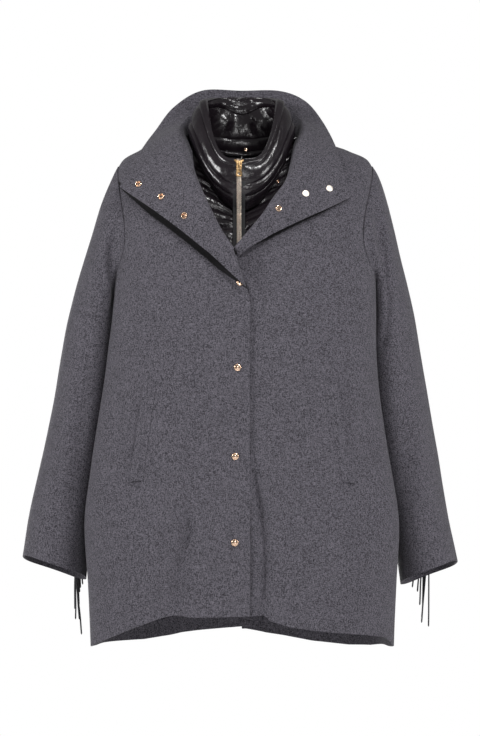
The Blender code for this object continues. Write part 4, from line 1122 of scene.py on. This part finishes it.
def zip_tape():
    across = ZIP_X + np.linspace(-TAPE_WIDTH / 2, TAPE_WIDTH / 2, 13)
    top = np.stack([zip_line(x, SEAM + TAPE_THICK)[0] for x in across], 1)
    foot = np.stack([zip_line(x, SEAM)[0] for x in across], 1)
    obj = dress(shell("zip_tape_woven", top, foot, TAPE, edge=0.25 * MM), "zip_tape", "zip_tape")


TOOTH_PITCH = 1.35 * MM
TOOTH_HALF, TOOTH_REACH = 1.75 * MM, 0.44 * MM
TOOTH_FOOT, TOOTH_TOP = -0.2 * MM, 1.2 * MM


def zip_teeth():
    """Two rows of teeth that grip each other, each tooth a rounded wedge."""
    line, _ = zip_line(ZIP_X, SEAM + TAPE_THICK + 0.2 * MM, 400)
    ring = ((-1, TOOTH_FOOT, 1.0), (1, TOOTH_FOOT, 1.0), (1, TOOTH_TOP, 0.8), (-1, TOOTH_TOP, 0.8))
    box = [(x * TOOTH_HALF, y, end * TOOTH_REACH * share) for end in (-1, 1) for x, y, share in ring]
    faces = [(0, 1, 2, 3), (4, 5, 6, 7), (0, 1, 5, 4), (2, 3, 7, 6), (1, 2, 6, 5), (0, 3, 7, 4)]
    for side in (RIGHT, LEFT):
        tooth = small_shape("tooth", box, faces)
        rounded(tooth, 0.2 * MM, 2, 30)
        points, along = spaced(line, TOOTH_PITCH)
        points = points + along * (TOOTH_PITCH / 2 if side == LEFT else 0)
        out = np.cross(along, (1, 0, 0))
        out = out * np.where(out[:, 1:2] < 0, 1, -1)
        points[:, 0] += side * TOOTH_HALF
        row = repeat(f"zip_teeth_{WORDS[side]}", tooth, TEETH, points, along, out)
        dress(row, "rose_gold", *(["zip_chain"] if side == RIGHT else []))


def plate(name, outline, low, high):
    """A flat plate across the zip: its outline of x and z in millimetres, between two depths."""
    rings = [[(x * MM, y * MM, z * MM) for x, z in outline] for y in (low, high)]
    count = len(outline)
    sides = [(i, (i + 1) % count, count + (i + 1) % count, count + i) for i in range(count)]
    ends = [tuple(range(count)), tuple(range(count, 2 * count))]
    obj = small_shape(name, rings[0] + rings[1], ends + sides)
    obj.data.materials.append(ZIP_GOLD)
    return obj


def combined(target, others, operation):
    """Joins other shapes to a target, or cuts them out of it."""
    for other in others:
        cut = target.modifiers.new("combined", "BOOLEAN")
        cut.operation, cut.solver, cut.object = operation, "EXACT", other
        settle(target)
        bpy.data.objects.remove(other)


def hard_piece(obj, place, width, *nodes, body_name="garment"):
    """Rounds a hard piece's edges, and sets it on its place."""
    rounded(obj, width, 3, 30)
    obj.data.shade_smooth()
    obj.data.set_sharp_from_angle(angle=math.radians(40))
    obj.data.transform(Matrix.Translation(place))
    dress(obj, "rose_gold", *nodes, body_name=body_name)


def slider_and_pull():
    """Slider with two tapered plates, its arch, and the pull tab that hangs in it."""
    axis = Vector(frame["joints"][0]["pos_m"])
    crown = ((-5.4, 6.0), (-4.2, 6.6), (-2.4, 6.0), (0, 5.2), (2.4, 6.0), (4.2, 6.6), (5.4, 6.0),
             (5.1, 3.0), (4.3, 0), (3.9, -4.9), (3.0, -5.4), (-3.0, -5.4), (-3.9, -4.9), (-4.3, 0),
             (-5.1, 3.0))
    crown = [(x, z + 0.8) for x, z in crown]
    neck = ((-1.1, 6), (1.1, 6), (1.7, 3.5), (0.9, 0.6), (-0.9, 0.6), (-1.7, 3.5))
    front = plate("slider", crown, 1.4, 2.6)
    back = plate("slider_back", crown, 4.2, 5.3)
    core = plate("slider_core", neck, 2.4, 4.4)
    arch = ((1.1, 4.0), (-1.1, 4.0), (-1.1, -2.4), (1.1, -2.4))
    loop = plate("slider_arch", arch, -2.6, 1.6)
    hollow = plate("arch_hollow", ((2, 2.8), (-2, 2.8), (-2, -1.2), (2, -1.2)), -1.4, 1.4)
    combined(loop, [hollow], "DIFFERENCE")
    combined(front, [back, core, loop], "UNION")
    hard_piece(front, axis, 0.28 * MM, "zip_slider")
    waist = [(3.3, 0.75), (4.1, -0.2), (4.3, -1.6), (4.2, -4.2), (3.5, -6.4), (3.3, -8.2), (4.0, -10.4),
             (4.5, -12.8), (4.5, -15.4), (3.9, -16.8), (2.6, -17.25)]
    pull = plate("pull_tab_plate", waist + [(-x, z) for x, z in waist[::-1]], -0.7, 0.7)
    window = ((2.0, -0.75), (2.0, -4.6), (1.3, -5.6), (-1.3, -5.6), (-2.0, -4.6), (-2.0, -0.75))
    slot = plate("pull_slot", window, -3, 3)
    turns = np.linspace(0, 2 * math.pi, 24, endpoint=False)
    eye = [(1.9 * math.cos(t), -13.4 + 1.9 * math.sin(t)) for t in turns]
    field = [(x * 0.72, -9.2 + (z + 9.2) * 0.80) for x, z in waist if z < -6]
    panel = plate("pull_field", field + [(-x, z) for x, z in field[::-1]], -1.2, -0.52)
    combined(pull, [slot, plate("pull_eye", eye, -3, 3), panel], "DIFFERENCE")
    hard_piece(pull, axis, 0.16 * MM, "zip_pull", body_name="pull_tab")


def end_stops():
    """The two stops at the top of the zip."""
    outline = ((-1.3, -1.6), (1.3, -1.6), (1.3, 1.6), (-1.3, 1.6))
    for side in (RIGHT, LEFT):
        line, _ = zip_line(ZIP_X + side * 5.6 * MM, SEAM + TAPE_THICK)
        place = Vector(line[2]) + Vector((0, 0.3 * MM, 0))
        hard_piece(plate(f"zip_stop_{WORDS[side]}", outline, -1.6, 0.6), place, 0.35 * MM)


# ---------------------------------------------------------------- studs
STUD_PROFILES = {            # radius and height
    "cap": ((0, -0.3), (4.6, -0.3), (5.3, 0.2), (5.45, 0.9), (5.2, 1.5), (4.7, 1.8), (4.4, 1.75),
            (4.1, 1.9), (3.2, 2.4), (1.8, 2.8), (0.8, 2.95), (0, 3.0)),
    "flat": ((0, -0.3), (4.2, -0.3), (4.75, 0.1), (4.85, 0.7), (4.6, 1.2), (4.0, 1.5), (3.2, 1.62),
             (1.5, 1.7), (0, 1.72)),
    "socket": ((0, -0.3), (4.5, -0.3), (5.1, 0.1), (5.2, 0.7), (4.9, 1.3), (4.3, 1.6), (3.7, 1.3),
               (3.4, 0.9), (3.1, 1.2), (2.7, 1.7), (2.2, 1.7), (1.95, 1.2), (1.9, -0.2), (0, -0.2)),
    "ring": ((0, -0.3), (2.9, -0.3), (3.35, 0.2), (3.2, 0.9), (2.7, 1.3), (2.2, 1.3), (1.8, 0.9),
             (1.7, 0), (0, 0)),
    "pale": ((0, -0.3), (4.6, -0.3), (5.2, 0.1), (5.3, 0.7), (5.0, 1.2), (4.2, 1.5), (2, 1.65),
             (0, 1.7)),
    "small": ((0, -0.3), (2.9, -0.3), (3.35, 0.1), (3.3, 0.8), (2.6, 1.4), (1.2, 1.7), (0, 1.75)),
}


def stud(name, node, kind, point, out):
    # caps of the pale kind take the paler copy of the rose gold, a painted reflection
    metal = GOLD_WITH_PAINTED_REFLECTION if kind == "pale" else ROSE_GOLD
    dress(turned(name, STUD_PROFILES[kind], metal, point, out), "rose_gold", node)


def studs():
    for each in entries(STUD_COLUMNS, STUDS_ON_FRONT):
        angle, row = on_front(np.array(each["x"] * MM), np.array(each["z"] * MM))
        normal = body_normal(angle, row)
        point = body(angle, row)
        point = point + normal * (folds(point, normal, "body") + 0.25 * MM)
        stud(each["name"], each["node"], each["kind"], point, normal)
    face, back = collar_faces()
    normal = (face - back) / LAPEL
    for each in entries(STUD_COLUMNS, STUDS_ON_LAPELS):
        point, out = nearest(face, back, normal, each["x"] * MM, each["z"] * MM)
        stud(each["name"], each["node"], each["kind"], point + out * 0.2 * MM, out)


def quilt_snaps():
    """The stud and the ring of the vest's collar, proud of its padding."""
    for each in entries(SNAP_COLUMNS, SNAPS_ON_VEST):
        low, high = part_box(each["node"])
        centre = (low + high) / 2
        angle = math.atan2(centre.x, -centre.y)
        normal = Vector(neck_normal(np.array(angle), np.array(each["down"]))) * each["sign"]
        stud(each["name"], each["node"], each["kind"], centre + normal * each["out"] * MM, normal)


def nearest(face, back, normal, x, z):
    """The point of the lapels' visible face that shows at x and z, with its normal."""
    best = None
    for grid, out in ((face, normal), (back, -normal)):
        turned_away = out[..., 1] > 0
        off = (grid[..., 0] - x) ** 2 + (grid[..., 2] - z) ** 2 + np.where(turned_away, 1, 0)
        off[:, :14] += 1
        place = np.unravel_index(off.argmin(), off.shape)
        if best is None or off[place] < best[0]:
            best = (off[place], grid[place], out[place])
    return best[1], best[2]


# ---------------------------------------------------------------- fringe
FRINGE_ROWS = (4.0, 9.85)
FRINGE_TOP = {RIGHT: 268, LEFT: 270}
FRINGE_CUFF = {RIGHT: 238, LEFT: 274}
FRINGE_LENGTH = 100 * MM
FRINGE_STRANDS = 34


def fringe(side):
    """Cords along the back seam of a sleeve, each from its own place in the tape."""
    row = np.linspace(*FRINGE_ROWS, FRINGE_STRANDS)
    turn = np.radians(np.interp(row, FRINGE_ROWS, (FRINGE_TOP[side], FRINGE_CUFF[side])))
    middle = sleeve_surface(side, turn, row)
    across = sleeve_surface(side, turn + STEP, row) - middle
    along = sleeve_surface(side, turn, row + STEP) - middle
    outward = unit(np.cross(along, across))
    outward = outward * np.sign(outward[:, 1:2])
    second = np.arange(len(row)) % 2
    roots = middle + outward * (2.2 + 1.9 * second[:, None]) * MM
    roots[:, 0] += side * 1.2 * MM * (second - 0.5)
    profile = [(0, 0.9 * MM, 0.7 * MM)] + [(-FRINGE_LENGTH * t, 1.15 * MM, 0.8 * MM)
                                         for t in np.linspace(0.03, 0.98, 14)]
    profile += [(-FRINGE_LENGTH, 0.6 * MM, 0.5 * MM)]
    strand = tube("strand", profile, sides=6)
    leaning = np.random.default_rng(7 + side).normal(0, 1, (len(row), 2))
    upright = np.stack([0.045 * leaning[:, 0] + side * 0.02, 0.02 * leaning[:, 1],
                        np.ones(len(row))], -1)
    cords = repeat(f"fringe_cords_{WORDS[side]}", strand, CORD, roots, upright, (0, 1, 0),
                   least=0.84, most=1.06, sway=0.07, seed=4 + side)
    dress(cords, "fringe", f"fringe_{WORDS[side]}")


front_panel(RIGHT)
front_panel(LEFT)
back_panel(RIGHT)
back_panel(LEFT)
vent_underlap()
sleeve(RIGHT)
sleeve(LEFT)
collar()
for sizes in entries(WELT_COLUMNS, WELT_ROWS):
    welt(**sizes)
vest_pieces()
vest_collar()
zip_tape()
zip_teeth()
slider_and_pull()
end_stops()
studs()
quilt_snaps()
fringe(RIGHT)
fringe(LEFT)


# ---------------------------------------------------------------- floor, light and camera
MIDDLE = (0, 0, -0.25)
LAMP_COLUMNS = ("name", "place", "size", "power")
LAMPS = (
    ("key", (1.7, -2.5, 2.9), (0.6, 0.6), 74),
    ("front", (0.3, -4.2, 0.6), (0.8, 0.8), 21),
    ("fill", (-3.0, -1.5, 0.8), (1.0, 1.0), 80),
    ("side", (3.0, -1.6, 0.2), (0.6, 1.0), 42),
    ("strip_high", (0.2, -3.2, 0.9), (1.8, 0.08), 8),
    ("strip_low", (0.2, -3.2, -0.9), (1.8, 0.06), 4),
    ("back", (-0.9, 3.2, -0.6), (1.6, 1.0), 60),
)


def lamp(name, place, size, power):
    """A rectangular lamp that points at the middle of the jacket."""
    light = bpy.data.lights.new(name, "AREA")
    light.shape, light.energy = "RECTANGLE", power
    light.size, light.size_y = size
    obj = placed(name, light)
    obj.location = place
    obj.rotation_euler = (Vector(MIDDLE) - Vector(place)).to_track_quat("-Z", "Y").to_euler()


BACKDROP_LIGHT, AMBIENT_LIGHT = 1.0, 0.27


def studio(backdrop, ambient):
    """A white backdrop, and a dimmer light from all around."""
    world = bpy.data.worlds.new("studio")
    world.use_nodes = True
    tree = world.node_tree
    around, white = tree.nodes["Background"], tree.nodes.new("ShaderNodeBackground")
    for light, strength in ((around, ambient), (white, backdrop)):
        light.inputs["Color"].default_value = (1, 1, 1, 1)
        light.inputs["Strength"].default_value = strength
    seen, either = tree.nodes.new("ShaderNodeLightPath"), tree.nodes.new("ShaderNodeMixShader")
    tree.links.new(seen.outputs["Is Camera Ray"], either.inputs[0])
    tree.links.new(around.outputs[0], either.inputs[1])
    tree.links.new(white.outputs[0], either.inputs[2])
    tree.links.new(either.outputs[0], tree.nodes["World Output"].inputs[0])
    bpy.context.scene.world = world


FLOOR_Z, FLOOR_REACH = -1.42, 6
floor_data = bpy.data.meshes.new("floor")
corners = [(x * FLOOR_REACH, y * FLOOR_REACH, FLOOR_Z) for x, y in ((-1, -1), (1, -1), (1, 1), (-1, 1))]
floor_data.from_pydata(corners, [], [(0, 1, 2, 3)])
pale = Finish("floor_pale", roughness=0.9)
pale.shader.inputs["Base Color"].default_value = (0.93, 0.93, 0.93, 1)
floor = add_piece("floor", floor_data, pale.material)
studio(BACKDROP_LIGHT, AMBIENT_LIGHT)
for values in entries(LAMP_COLUMNS, LAMPS):
    lamp(**values)

CAMERA_AWAY, VIEW_HEIGHT, SENSOR = 8.0, 1.104, 36
camera = placed("camera", bpy.data.cameras.new("camera"))
bpy.context.scene.camera = camera
camera.location = (-0.0025, -CAMERA_AWAY, -0.324)
camera.rotation_euler = (math.pi / 2, 0, 0)
camera.data.sensor_width = SENSOR
camera.data.lens = SENSOR * CAMERA_AWAY / VIEW_HEIGHT
camera.data.clip_end = 100

bpy.context.scene.view_settings.view_transform = "Standard"
